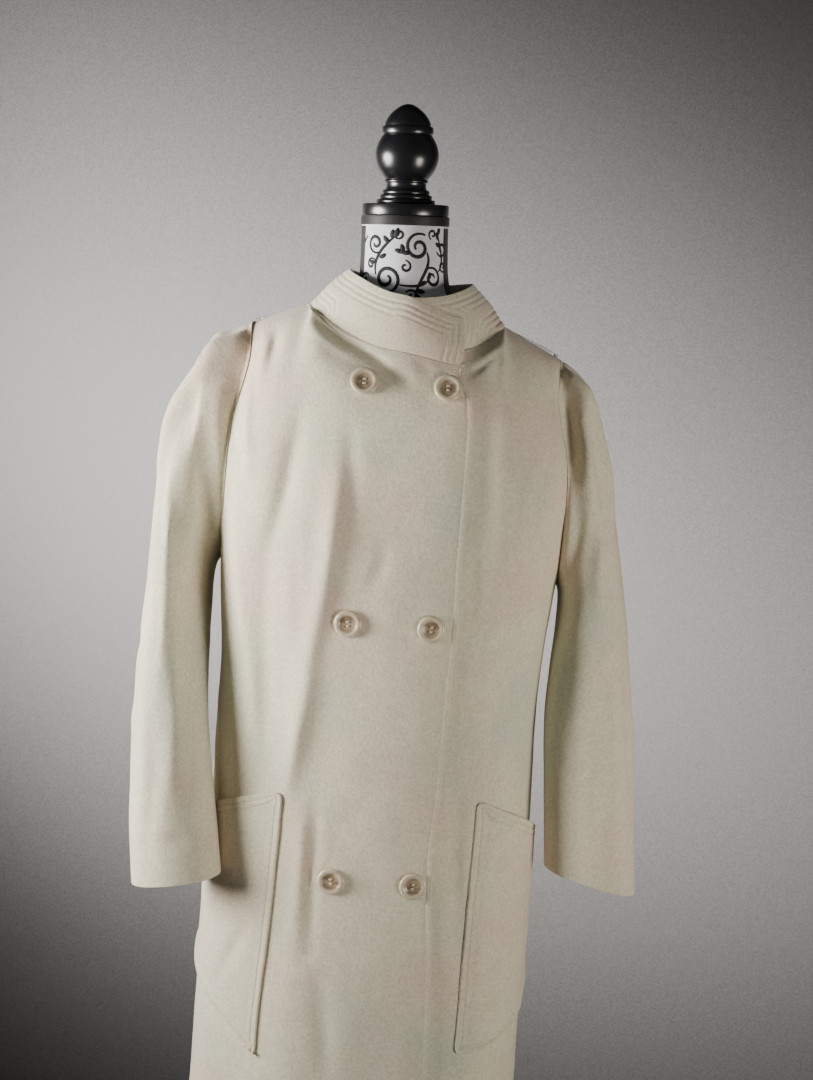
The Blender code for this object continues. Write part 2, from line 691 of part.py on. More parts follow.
def sleeve_relief(share, place):
    """Height of the pleats and folds at a place on a sleeve."""
    total = 0.0
    for centre, start, end, width, height in SLEEVE_FOLDS:
        run = (share - start) / (end - start)
        if 0.0 <= run <= 1.0:
            fade = math.sin(math.pi * (0.12 + 0.88 * run)) ** 0.7
            total += height * fade * math.exp(-((place - centre) / width) ** 2)
    return total * smooth(share / 0.03)


def sleeve_places():
    """Places round a sleeve, one for each row of the panels at the armhole."""
    turns = [armhole_turn(level) for level in panel_rows() if level > 1.0 + 1e-9]
    front = [turn / (2 * math.pi) for turn in turns]
    return [0.0] + front + [1.0 - place for place in reversed(front[:-1])]


def sleeve(name, side, table, material):
    """A set-in sleeve with a pleated head and a plain cuff."""
    outer, inner = [], []
    for row in range(SLEEVE_ROWS):
        share = (row / (SLEEVE_ROWS - 1)) ** SLEEVE_CROWD
        outer_row, inner_row = [], []
        for place in sleeve_places():
            normal = sleeve_normal(side, table, share, place)
            point = sleeve_point(side, table, share, place)
            point = point + normal * sleeve_relief(share, place)
            if row == 0:
                level = armhole_level(2 * math.pi * min(place, 1.0 - place))
                normal = seam_direction(side, level, place <= 0.5)
                low = math.cos(math.pi * place) ** 2
                ahead = sleeve_point(side, table, SLEEVE_START, place)
                point = point + unit(ahead - point) * SEAM * 2
                point = point + np.array([side * SEAM * 2 * low, 0.0, 0.0])
            outer_row.append(point)
            inner_row.append(point - normal * CLOTH)
        outer.append(outer_row)
        inner.append(inner_row)
    return wall(name, outer, inner, True, material)


# ---------------------------------------------------------------- collar
def collar_ring(angle, top):
    """A point of the collar's foot or top, before it hangs unevenly; angle from centre front."""
    turn = math.radians(angle)
    front = math.cos(turn) > 0
    if top:
        depth = COLLAR_TOP_FRONT if front else COLLAR_TOP_BACK
        dip = COLLAR_FRONT_DIP if front else COLLAR_BACK_DIP
        point = [COLLAR_TOP_RADIUS * math.sin(turn), NECK_SIDE[1] - depth * math.cos(turn),
                 COLLAR_TOP - dip * math.cos(turn) ** 2]
    else:
        depth = NECK_FRONT_DEPTH if front else NECK_BACK_DEPTH
        dip = NECK_FRONT_DIP if front else NECK_BACK_DIP
        point = [NECK_SIDE[0] * math.sin(turn), NECK_SIDE[1] - depth * math.cos(turn),
                 NECK_SIDE[2] - dip * math.cos(turn) ** 2]
    return hang(np.array(point))


def collar_angles():
    """Angles of the collar's columns at its foot, each at a column of the panels."""
    step = 90 / NECK_COLUMNS
    return [step * i for i in range(-1, 4 * NECK_COLUMNS + 3)] + [360 + COLLAR_END[0]]


def collar_column(angle):
    """Foot and top of the collar at an angle from centre front."""
    foot = collar_ring(angle, False)
    over = smooth((angle - 360) / COLLAR_END[0])
    top_angle = angle + (COLLAR_END[1] - COLLAR_END[0]) * over
    top = collar_ring(top_angle, True)
    if over > 0:
        across = NECK_SHARE * (angle - 360) / 90
        foot = skin(across, overlap_top(across), True)
        top = top + (collar_ring(top_angle, False) - top) * COLLAR_TOP_SAG * over
    return foot, top


def collar(material):
    """The funnel collar: one band whose squared end lies over its beginning."""
    angles = collar_angles()
    ends = [collar_column(angle) for angle in angles]
    outer, inner = [[] for _ in range(COLLAR_ROWS)], [[] for _ in range(COLLAR_ROWS)]
    for i, (foot, top) in enumerate(ends):
        before, after = ends[max(0, i - 1)], ends[min(len(ends) - 1, i + 1)]
        around = (after[0] - before[0]) + (after[1] - before[1])
        normal = unit(np.cross(around, top - foot))
        lift = -underlap_drop(NECK_SHARE * angles[i] / 90, 3.0)
        over = smooth((angles[i] - COLLAR_OVER[0]) / (COLLAR_OVER[1] - COLLAR_OVER[0]))
        start = foot + unit(top - foot) * (COLLAR_GAP + (COLLAR_GAP_OVER - COLLAR_GAP) * over)
        for row, share in enumerate(spread(0.0, 1.0, COLLAR_ROWS)):
            bow = COLLAR_BOW * math.sin(math.pi * share)
            point = start + (top - start) * share + normal * (lift + bow + COLLAR_LIFT * over)
            outer[row].append(point)
            inner[row].append(point - normal * CLOTH)
    return wall("collar", outer, inner, False, material)


# ---------------------------------------------------------------- pockets
def on_column(side, column, level, front):
    """Point and outward direction on the straight pieces of a panel's column."""
    rows = panel_rows()
    row = max(i for i in range(len(rows) - 1) if rows[i] <= level)
    share = (level - rows[row]) / (rows[row + 1] - rows[row])
    ends = []
    for here in rows[row:row + 2]:
        places = front_columns(side, here) if front else half_columns()
        ends.append(cloth_point(side * places[column], here, front))
    (low, low_normal), (high, high_normal) = ends
    return low + (high - low) * share, unit(low_normal + (high_normal - low_normal) * share)


def pocket(name, sizes, side, material):
    """A large patch pocket that wraps round the side, moved out from the panel's points."""
    last = len(half_columns()) - 1
    columns = [(column, True) for column in range(POCKET_COLUMN, last + 1)]
    columns += [(last - step, False) for step in range(1, POCKET_BACK_COLUMNS + 1)]
    outer, inner = [], []
    for up in spread(0.0, 1.0, POCKET_ROWS):
        outer_row, inner_row = [], []
        for number, (column, front) in enumerate(columns):
            over = number / (len(columns) - 1)
            foot = sizes["foot"] + (sizes["foot_outer"] - sizes["foot"]) * over ** sizes["foot_bend"]
            top = sizes["top"] + (sizes["top_outer"] - sizes["top"]) * over
            level = level_at(foot + (top - foot) * up)
            point, normal = on_column(side, column, level, front)
            across = math.sin(math.pi * min(1.0, over / POCKET_GAPE_END)) ** POCKET_GAPE_POWER
            gape = sizes["gape"] * across * smooth(up / POCKET_GAPE_RISE)
            point = point + normal * (POCKET_OFF + CLOTH + gape)
            outer_row.append(point)
            inner_row.append(point - normal * CLOTH)
        outer.append(outer_row)
        inner.append(inner_row)
    return wall(name, outer, inner, False, material)


# ---------------------------------------------------------------- buttons
def button(name, x, height, material):
    """A dished button with a raised rim, flat on the cloth."""
    level = level_at(height)
    if level > 2.0:
        level = 2.0 + (height - CHEST) / (skin(across_at(x, 2.5), 3.0, True)[2] - CHEST)
    across = across_at(x, level)
    point, normal = cloth_point(across, level, True)
    radius, thick = BUTTON_RADIUS, BUTTON_THICK
    profile = ((0.0, thick * 0.62), (radius * 0.55, thick * 0.66), (radius * 0.74, thick * 0.98),
               (radius * 0.90, thick), (radius, thick * 0.62), (radius * 0.90, 0.0), (0.0, 0.0))
    piece = turned(name, profile, 16, material)
    place = Vector(point + normal * BUTTON_OFF)
    turn = Vector((0, 0, 1)).rotation_difference(Vector(normal)).to_matrix().to_4x4()
    piece.matrix_world = Matrix.Translation(place) @ turn
    return piece


def turned(name, profile, steps, material):
    """A turned solid: the profile of (radius, height) runs down its outer side."""
    mesh = bpy.data.meshes.new(name)
    verts = [(radius, 0.0, height) for radius, height in profile]
    mesh.from_pydata(verts, [(i, i + 1) for i in range(len(verts) - 1)], [])
    mesh.materials.append(material)
    piece = bpy.data.objects.new(name, mesh)
    parts.objects.link(piece)
    screw = piece.modifiers.new("turn", "SCREW")
    screw.steps = steps
    screw.render_steps = steps
    screw.use_merge_vertices = True
    screw.merge_threshold = 0.00001
    screw.use_smooth_shade = True
    return piece


# ---------------------------------------------------------------- dress form
def torso_point(across, level, front):
    """A point of the form's body: the coat's form, drawn in by the torso table."""
    gap, slim_x, slim_y = spline(TORSO, level)
    beside = smooth((NECK_SHARE - abs(across)) / NECK_EASE[0])
    gap += NECK_CLEARANCE * beside * smooth((level - NECK_EASE[1]) / NECK_EASE[2])
    if front:
        gap += (CLOTH + STEP_OFF) * smooth((UNDERLAP_REACH - abs(across)) / UNDERLAP_FADE)
    point = skin(across, level, front)
    normal = skin_normal(across, min(level, BELOW_TOP), front)
    point = point - normal * (CLOTH + gap)
    return np.array([COAT_SHIFT + (point[0] - COAT_SHIFT) * slim_x, point[1] * slim_y, point[2]])


def lean(point):
    """Lean the neck above its pivot."""
    turn = math.radians(NECK_LEAN) * smooth((point[2] - NECK_PIVOT + 0.03) / 0.05)
    x, z = point[0], point[2] - NECK_PIVOT
    return np.array([x * math.cos(turn) - z * math.sin(turn), point[1],
                     NECK_PIVOT + z * math.cos(turn) + x * math.sin(turn)])


def form_body(material):
    """The limbless torso with its neck, one smooth closed solid."""
    mesh_data = bmesh.new()
    levels = [row[0] for row in TORSO[:6]] + [1.7] + spread(2.0, 3.0, 5)
    shares = [share * 0.98 for share in spread(-1.0, 1.0, 19)]
    grids = {}
    for front in (True, False):
        grids[front] = [[mesh_data.verts.new(torso_point(across, level, front))
                         for across in shares] for level in levels]
        grid = grids[front]
        for i in range(len(levels) - 1):
            for j in range(len(shares) - 1):
                mesh_data.faces.new([grid[i][j], grid[i][j + 1], grid[i + 1][j + 1], grid[i + 1][j]])
    for j in (0, len(shares) - 1):
        for i in range(len(levels) - 1):
            mesh_data.faces.new([grids[True][i][j], grids[True][i + 1][j],
                                 grids[False][i + 1][j], grids[False][i][j]])
    mesh_data.faces.new([grids[True][0][j] for j in range(len(shares))]
                        + [grids[False][0][j] for j in reversed(range(len(shares)))])
    ring = [grids[True][-1][j] for j in range(len(shares))]
    ring += [grids[False][-1][j] for j in reversed(range(len(shares)))]
    for height, radius in FORM_NECK:
        level_ring = []
        for vert in ring:
            angle = math.atan2(vert.co.x - COAT_SHIFT, -vert.co.y + NECK_SIDE[1])
            point = np.array([radius * math.sin(angle), -radius * math.cos(angle), height])
            level_ring.append(mesh_data.verts.new(lean(point)))
        for j in range(len(ring)):
            k = (j + 1) % len(ring)
            mesh_data.faces.new([ring[j], ring[k], level_ring[k], level_ring[j]])
        ring = level_ring
    mesh_data.faces.new(ring)
    bmesh.ops.recalc_face_normals(mesh_data, faces=mesh_data.faces)
    return finish_mesh("form_body", mesh_data, material)


def lean_piece(piece):
    """Stand a turned piece on the leaning neck."""
    pivot = Matrix.Translation((0, 0, NECK_PIVOT))
    turn = Matrix.Rotation(-math.radians(NECK_LEAN), 4, "Y")
    piece.matrix_world = pivot @ turn @ pivot.inverted() @ piece.matrix_world


def stand_parts(black):
    """Ribbon band, neck disc, finial, pole and base."""
    top = FORM_NECK[-1][0]
    band = turned("neck_band", ((0.0, DISC_FOOT - SEAM), (BAND_RADIUS - 0.0005, DISC_FOOT - SEAM),
                                (BAND_RADIUS, top + SEAM), (0.0, top + SEAM)), 28, black)
    disc_top = DISC_FOOT + DISC_THICK
    disc = turned("neck_disc", ((0.0, disc_top), (DISC_RADIUS - DISC_BEVEL, disc_top),
                                (DISC_RADIUS, disc_top - DISC_BEVEL),
                                (DISC_RADIUS, DISC_FOOT), (0.0, DISC_FOOT)), 32, black)
    foot = disc_top + SEAM
    profile = [(0.0, foot + FINIAL[-1][0] + 0.0015)]
    profile += [(radius, foot + height) for height, radius in reversed(FINIAL)] + [(0.0, foot)]
    finial = turned("finial", profile, 18, black)
    for piece in (band, disc, finial):
        lean_piece(piece)
    pole_top = HEM + (UNDERARM - HEM) * TORSO[0][0] - 0.0006
    turned("pole", ((0.0, pole_top), (POLE_RADIUS, pole_top), (POLE_RADIUS, BASE_HEIGHT + SEAM),
                    (0.0, BASE_HEIGHT + SEAM)), 16, black)
    turned("base", BASE, 32, black)


# ---------------------------------------------------------------- build
for old in list(bpy.data.objects):
    bpy.data.objects.remove(old, do_unlink=True)

parts = bpy.data.collections.new("long_wool_coat_on_form")
bpy.context.scene.collection.children.link(parts)
wool, horn, black, cover = (make_material(name) for name in COLOURS)

coat_panels(wool)
sleeve("sleeve_left", 1, SLEEVE_LEFT, wool)
sleeve("sleeve_right", -1, SLEEVE_RIGHT, wool)
collar(wool)
pocket("pocket_left", POCKET_LEFT, 1, wool)
pocket("pocket_right", POCKET_RIGHT, -1, wool)
for row_number, row_height in enumerate(BUTTON_ROWS):
    for column_number, column_x in enumerate(BUTTON_COLUMNS):
        button(f"button_{row_number + 1}_{'ab'[column_number]}", column_x, row_height, horn)
form_body(cover)
stand_parts(black)
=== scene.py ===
# Long double-breasted wool coat on a limbless dress form: its fine shapes, stitching and finishes.
# Metres, +Z up. The front faces -Y and the wearer's left is +X.
import math

import bmesh
import bpy
import numpy as np
from mathutils import Matrix, Vector, noise
from mathutils.bvhtree import BVHTree
from mathutils.kdtree import KDTree


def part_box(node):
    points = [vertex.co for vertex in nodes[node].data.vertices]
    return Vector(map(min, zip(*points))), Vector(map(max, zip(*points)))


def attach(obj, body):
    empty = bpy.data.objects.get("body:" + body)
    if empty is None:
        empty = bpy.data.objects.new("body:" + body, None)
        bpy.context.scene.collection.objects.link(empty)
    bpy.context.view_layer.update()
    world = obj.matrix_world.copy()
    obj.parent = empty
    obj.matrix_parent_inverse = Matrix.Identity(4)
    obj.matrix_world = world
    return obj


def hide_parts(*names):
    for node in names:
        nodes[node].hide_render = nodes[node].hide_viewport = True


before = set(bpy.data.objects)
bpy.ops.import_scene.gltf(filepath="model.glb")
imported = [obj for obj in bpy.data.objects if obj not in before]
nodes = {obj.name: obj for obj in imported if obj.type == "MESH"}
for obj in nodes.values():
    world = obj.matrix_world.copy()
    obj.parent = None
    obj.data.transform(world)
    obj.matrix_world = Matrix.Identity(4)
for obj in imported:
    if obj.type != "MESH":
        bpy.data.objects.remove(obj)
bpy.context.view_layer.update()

# the viewpoint, with the photograph's height and its focal length in pixels
viewpoint = {
    "place": (0.024, -2.38, 1.457),
    "tiltDown": 8.25,          # degrees
    "roll": 4.0,
    "sensor": 36.0,
    "photoHeight": 1080,
    "focalPixels": 2000,
}


def placeCamera():
    lens = bpy.data.cameras.new("camera")
    lens.sensor_width = viewpoint["sensor"]
    lens.lens = viewpoint["focalPixels"] / viewpoint["photoHeight"] * viewpoint["sensor"]
    camera = bpy.data.objects.new("camera", lens)
    bpy.context.scene.collection.objects.link(camera)
    tilt = Matrix.Rotation(math.radians(90 - viewpoint["tiltDown"]), 4, "X")
    roll = Matrix.Rotation(math.radians(viewpoint["roll"]), 4, "Z")
    camera.matrix_world = Matrix.Translation(viewpoint["place"]) @ tilt @ roll
    bpy.context.scene.camera = camera


studio = {
    "air": (0.86, 0.87, 0.87),
    "airStrength": 0.085,
    # name: place, target, size, watts, how widely it spreads in degrees, colour
    "key": ((-1.58, -0.40, 1.16), (-0.12, 0.0, 1.28), 0.9, 28.0, 98, (1.0, 0.965, 0.91)),
    "fill": ((2.0, -1.6, 0.60), (0.28, 0.0, 1.08), 1.0, 6.2, 64, (1.0, 0.92, 0.82)),
    "back": ((-1.2, 2.6, 2.6), (0.0, 0.0, 1.1), 2.0, 26.0, 180, (1.0, 0.98, 0.95)),
    "wallPlace": 0.88,
}


def softLight(name):
    place, target, size, watts, spread, colour = studio[name]
    light = bpy.data.lights.new(name, "AREA")
    light.shape = "DISK"
    light.size = size
    light.energy = watts
    light.spread = math.radians(spread)
    light.color = colour
    lamp = bpy.data.objects.new(name, light)
    lamp.location = place
    lamp.rotation_euler = (Vector(target) - Vector(place)).to_track_quat("-Z", "Y").to_euler()
    bpy.context.scene.collection.objects.link(lamp)


def newFinish(name, **values):
    finish = bpy.data.materials.new(name)
    finish.use_nodes = True
    shader = finish.node_tree.nodes["Principled BSDF"]
    for socket, value in values.items():
        shader.inputs[socket.replace("_", " ")].default_value = value
    return finish, finish.node_tree, shader


def addNode(tree, kind, links=(), **values):
    node = tree.nodes.new(kind)
    for socket, value in values.items():
        if socket in node.inputs:
            node.inputs[socket].default_value = value
        else:
            setattr(node, socket, value)
    for socket, source in links:
        tree.links.new(source, node.inputs[socket])
    return node


def objectPlace(tree, stretch=(1, 1, 1)):
    place = addNode(tree, "ShaderNodeTexCoord").outputs["Object"]
    mapping = addNode(tree, "ShaderNodeMapping", [("Vector", place)], Scale=stretch)
    return mapping.outputs["Vector"]


def cloudy(tree, place, scale, detail=3.0, roughness=0.5):
    return addNode(tree, "ShaderNodeTexNoise", [("Vector", place)],
                   Scale=scale, Detail=detail, Roughness=roughness).outputs["Fac"]


def rampOf(tree, factor, low, high, first=(0, 0, 0, 1), last=(1, 1, 1, 1)):
    ramp = addNode(tree, "ShaderNodeValToRGB", [("Fac", factor)])
    ramp.color_ramp.elements[0].position = low
    ramp.color_ramp.elements[1].position = high
    ramp.color_ramp.elements[0].color = first
    ramp.color_ramp.elements[1].color = last
    return ramp.outputs["Color"]


def mixOf(tree, factor, first, second, blend="MIX"):
    mix = addNode(tree, "ShaderNodeMix", data_type="RGBA", blend_type=blend)
    for socket, value in ((0, factor), (6, first), (7, second)):
        if isinstance(value, bpy.types.NodeSocket):
            tree.links.new(value, mix.inputs[socket])
        elif socket:
            mix.inputs[socket].default_value = (*value, 1.0)
        else:
            mix.inputs[socket].default_value = value
    return mix.outputs[2]


def bumpOf(tree, height, distance, strength=1.0, below=None):
    links = [("Height", height)]
    if below is not None:
        links.append(("Normal", below))
    return addNode(tree, "ShaderNodeBump", links, Distance=distance, Strength=strength).outputs["Normal"]


woolLook = {
    "light": (0.80, 0.75, 0.58),      # brushed ivory
    "deep": (0.70, 0.665, 0.50),
    "rose": (0.80, 0.63, 0.53),        # faint warm patches
    "cool": (0.64, 0.67, 0.53),        # and greener ones
    "patches": 9.0,
    "mottle": 55.0,
    "nap": 260.0,                      # soft tufts of about 4 mm
    "fibre": 1100.0,                   # single fibres
    "napHeight": 0.0010,
    "fibreHeight": 0.0004,
    "sheen": 0.22,
}


def woolFinish():
    finish, tree, shader = newFinish("brushedWool", Roughness=0.93, Sheen_Weight=woolLook["sheen"],
                                     Sheen_Roughness=0.45, Specular_IOR_Level=0.15)
    place = objectPlace(tree)
    fibres = cloudy(tree, objectPlace(tree, (1, 1, 0.55)), woolLook["fibre"], 2.0, 0.6)
    nap = cloudy(tree, place, woolLook["nap"], 3.0, 0.6)
    mottle = rampOf(tree, cloudy(tree, place, woolLook["mottle"], 4.0), 0.36, 0.64)
    warm = rampOf(tree, cloudy(tree, place, woolLook["patches"], 2.0), 0.47, 0.68,
                  (0, 0, 0, 1), (0.7, 0.7, 0.7, 1))
    cool = rampOf(tree, cloudy(tree, objectPlace(tree, (0.8, 1, 0.7)), woolLook["patches"], 1.0), 0.50, 0.66,
                  (0, 0, 0, 1), (0.8, 0.8, 0.8, 1))
    colour = mixOf(tree, mottle, woolLook["light"], woolLook["deep"])
    colour = mixOf(tree, 0.45, woolLook["light"], colour)
    colour = mixOf(tree, cool, colour, woolLook["cool"])
    colour = mixOf(tree, warm, colour, woolLook["rose"])
    speckle = mixOf(tree, rampOf(tree, fibres, 0.30, 0.70), (0.80, 0.79, 0.77), (1.10, 1.10, 1.10))
    tufts = mixOf(tree, rampOf(tree, nap, 0.34, 0.66), (0.88, 0.87, 0.86), (1.06, 1.06, 1.06))
    colour = mixOf(tree, 1.0, colour, tufts, "MULTIPLY")
    tree.links.new(mixOf(tree, 1.0, colour, speckle, "MULTIPLY"), shader.inputs["Base Color"])
    low = bumpOf(tree, nap, woolLook["napHeight"], 0.5)
    tree.links.new(bumpOf(tree, fibres, woolLook["fibreHeight"], 0.7, low), shader.inputs["Normal"])
    return finish


def threadFinish():
    finish, tree, shader = newFinish("woolThread", Roughness=0.75, Sheen_Weight=0.2)
    twist = cloudy(tree, objectPlace(tree), 2600.0, 2.0)
    tree.links.new(mixOf(tree, twist, (0.62, 0.55, 0.40), (0.80, 0.72, 0.55)), shader.inputs["Base Color"])
    tree.links.new(bumpOf(tree, twist, 0.0002), shader.inputs["Normal"])
    return finish


hornLook = {"rim": (0.60, 0.52, 0.38), "middle": (0.42, 0.32, 0.21), "dark": (0.20, 0.14, 0.09), "streaks": 70.0}


def hornFinish():
    finish, tree, shader = newFinish("buttonHorn", Roughness=0.30, Coat_Weight=0.35, Coat_Roughness=0.15)
    streaks = cloudy(tree, objectPlace(tree, (1, 1, 2.6)), hornLook["streaks"], 3.0, 0.55)
    rim = addNode(tree, "ShaderNodeAttribute", attribute_name="rim").outputs["Fac"]
    inner = mixOf(tree, rampOf(tree, streaks, 0.40, 0.62), hornLook["middle"], hornLook["dark"])
    pale = mixOf(tree, rampOf(tree, streaks, 0.50, 0.75), hornLook["rim"], hornLook["middle"])
    tree.links.new(mixOf(tree, rim, inner, pale), shader.inputs["Base Color"])
    grain = cloudy(tree, objectPlace(tree), 900.0, 3.0)
    tree.links.new(bumpOf(tree, grain, 0.0002, 0.35), shader.inputs["Normal"])
    return finish


def coverFinish():
    finish, tree, shader = newFinish("formCover", Roughness=0.82, Sheen_Weight=0.15)
    place = addNode(tree, "ShaderNodeTexCoord").outputs["Object"]
    weave = addNode(tree, "ShaderNodeTexWave", [("Vector", place)], Scale=320.0, Distortion=0.4,
                    bands_direction="Z").outputs["Fac"]
    cross = addNode(tree, "ShaderNodeTexWave", [("Vector", place)], Scale=320.0, Distortion=0.4,
                    bands_direction="DIAGONAL").outputs["Fac"]
    threads = mixOf(tree, 0.5, weave, cross)
    slub = cloudy(tree, place, 40.0, 4.0)
    colour = mixOf(tree, rampOf(tree, slub, 0.3, 0.7), (0.72, 0.73, 0.80), (0.84, 0.84, 0.88))
    colour = mixOf(tree, 0.10, colour, threads, "MULTIPLY")
    tree.links.new(colour, shader.inputs["Base Color"])
    tree.links.new(bumpOf(tree, threads, 0.0002, 0.5), shader.inputs["Normal"])
    return finish


def printFinish():
    finish, tree, shader = newFinish("coverPrint", Roughness=0.8)
    worn = cloudy(tree, objectPlace(tree), 700.0, 3.0)
    tree.links.new(mixOf(tree, rampOf(tree, worn, 0.60, 0.85), (0.012, 0.012, 0.016), (0.06, 0.06, 0.08)),
                   shader.inputs["Base Color"])
    tree.links.new(bumpOf(tree, worn, 0.0001), shader.inputs["Normal"])
    return finish


def ribbonFinish():
    finish, tree, shader = newFinish("blackRibbon", Roughness=0.5, Sheen_Weight=0.3, Sheen_Roughness=0.4)
    ribs = addNode(tree, "ShaderNodeTexWave", [("Vector", objectPlace(tree))], Scale=260.0,
                   bands_direction="Z").outputs["Fac"]
    tree.links.new(mixOf(tree, ribs, (0.006, 0.006, 0.007), (0.018, 0.018, 0.020)), shader.inputs["Base Color"])
    tree.links.new(bumpOf(tree, ribs, 0.0002, 0.7), shader.inputs["Normal"])
    return finish


def lacquerFinish(name, roughness, peel):
    finish, tree, shader = newFinish(name, Roughness=roughness, Coat_Weight=0.5, Coat_Roughness=0.22)
    dust = cloudy(tree, objectPlace(tree), 260.0, 5.0, 0.7)
    tree.links.new(mixOf(tree, rampOf(tree, dust, 0.55, 0.8), (0.006, 0.006, 0.008), (0.014, 0.014, 0.017)),
                   shader.inputs["Base Color"])
    wave = cloudy(tree, objectPlace(tree), peel, 2.0)
    tree.links.new(bumpOf(tree, wave, 0.0002, 0.25), shader.inputs["Normal"])
    return finish


# a pool of light painted slantwise on the wall, which is darker away from it: its middle, half lengths, slant and how
# fast it fades
wallLook = {"pale": (0.76, 0.755, 0.78), "middle": (-0.55, 0.0, 1.075), "lengths": (2.0, 100.0, 0.70),
            "slant": 18.0, "fade": 1.0}


def wallFinish():
    # not there at all from behind
    finish, tree, shader = newFinish("wallPaper", Roughness=0.95, Specular_IOR_Level=0.1)
    place = addNode(tree, "ShaderNodeTexCoord").outputs["Object"]
    # painted light: how far each place lies from the middle of the painted pool of light
    paintedPool = addNode(tree, "ShaderNodeMapping", [("Vector", place)], vector_type="TEXTURE",
                   Location=wallLook["middle"], Rotation=(0, math.radians(wallLook["slant"]), 0),
                   Scale=wallLook["lengths"]).outputs["Vector"]
    away = addNode(tree, "ShaderNodeVectorMath", [(0, paintedPool), (1, paintedPool)], operation="DOT_PRODUCT").outputs["Value"]
    power = addNode(tree, "ShaderNodeMath", [(0, away)], operation="MULTIPLY")
    power.inputs[1].default_value = -wallLook["fade"]
    light = addNode(tree, "ShaderNodeMath", [(0, power.outputs[0])], operation="EXPONENT").outputs[0]
    grain = cloudy(tree, place, 480.0, 3.0, 0.7)
    # painted light and shade: the wall's colour runs from near black away from the pool to pale in its middle
    colour = mixOf(tree, light, (0.03, 0.03, 0.032), wallLook["pale"])
    tree.links.new(mixOf(tree, 0.24, colour, rampOf(tree, grain, 0.3, 0.7), "OVERLAY"), shader.inputs["Base Color"])
    clear = addNode(tree, "ShaderNodeBsdfTransparent")
    behind = addNode(tree, "ShaderNodeNewGeometry").outputs["Backfacing"]
    pick = addNode(tree, "ShaderNodeMixShader", [(0, behind), (1, shader.outputs[0]), (2, clear.outputs[0])])
    tree.links.new(pick.outputs[0], tree.nodes["Material Output"].inputs["Surface"])
    return finish


def floorFinish():
    finish, tree, shader = newFinish("paleFloor", Roughness=0.7)
    haze = cloudy(tree, objectPlace(tree), 3.0, 4.0)
    tree.links.new(mixOf(tree, haze, (0.50, 0.50, 0.49), (0.56, 0.56, 0.55)), shader.inputs["Base Color"])
    return finish


def asPiece(name, mesh, finish):
    mesh.materials.clear()
    mesh.materials.append(finish)
    mesh.polygons.foreach_set("material_index", [0] * len(mesh.polygons))
    mesh.shade_smooth()
    piece = bpy.data.objects.new(name, mesh)
    bpy.context.scene.collection.objects.link(piece)
    return piece


def meshFrom(shape, name):
    mesh = bpy.data.meshes.new(name)
    shape.to_mesh(mesh)
    shape.free()
    return mesh


def evaluated(mesh, kind, **settings):
    # the mesh after one modifier
    cage = bpy.data.objects.new("cage", mesh)
    bpy.context.scene.collection.objects.link(cage)
    modifier = cage.modifiers.new("change", kind)
    for setting, value in settings.items():
        setattr(modifier, setting, value)
    fine = bpy.data.meshes.new_from_object(cage.evaluated_get(bpy.context.evaluated_depsgraph_get()))
    bpy.data.objects.remove(cage)
    return fine


def coordinates(mesh):
    flat = np.empty(len(mesh.vertices) * 3)
    mesh.vertices.foreach_get("co", flat)
    return flat.reshape(-1, 3)


def subdivided(mesh, levels, rounds=2, reach=0.0022):
    # a smooth surface that still runs through the cage's own points
    wanted = coordinates(mesh)
    settings = {"levels": levels, "render_levels": levels, "boundary_smooth": "ALL"}
    for _round in range(rounds):
        fine = evaluated(mesh, "SUBSURF", **settings)
        short = wanted - coordinates(fine)[:len(wanted)]
        length = np.linalg.norm(short, axis=1, keepdims=True)
        short *= np.minimum(1.0, reach / np.maximum(length, 1e-9))
        mesh.vertices.foreach_set("co", (coordinates(mesh) + short).ravel())
        mesh.update()
        bpy.data.meshes.remove(fine)
    return evaluated(mesh, "SUBSURF", **settings)


def belongs(piece, slotName, *replaced):
    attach(piece, "root")
    if replaced:
        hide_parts(*replaced)
    return piece


def mergedNode(name):
    # a copy of a node's mesh with its points merged and its triangles joined to quads
    shape = bmesh.new()
    shape.from_mesh(nodes[name].data)
    bmesh.ops.remove_doubles(shape, verts=shape.verts, dist=0.00001)
    bmesh.ops.join_triangles(shape, faces=shape.faces, angle_face_threshold=math.radians(80),
                             angle_shape_threshold=math.pi)
    return shape


def surfaceOf(mesh):
    return BVHTree.FromPolygons([vert.co for vert in mesh.vertices], [face.vertices for face in mesh.polygons])


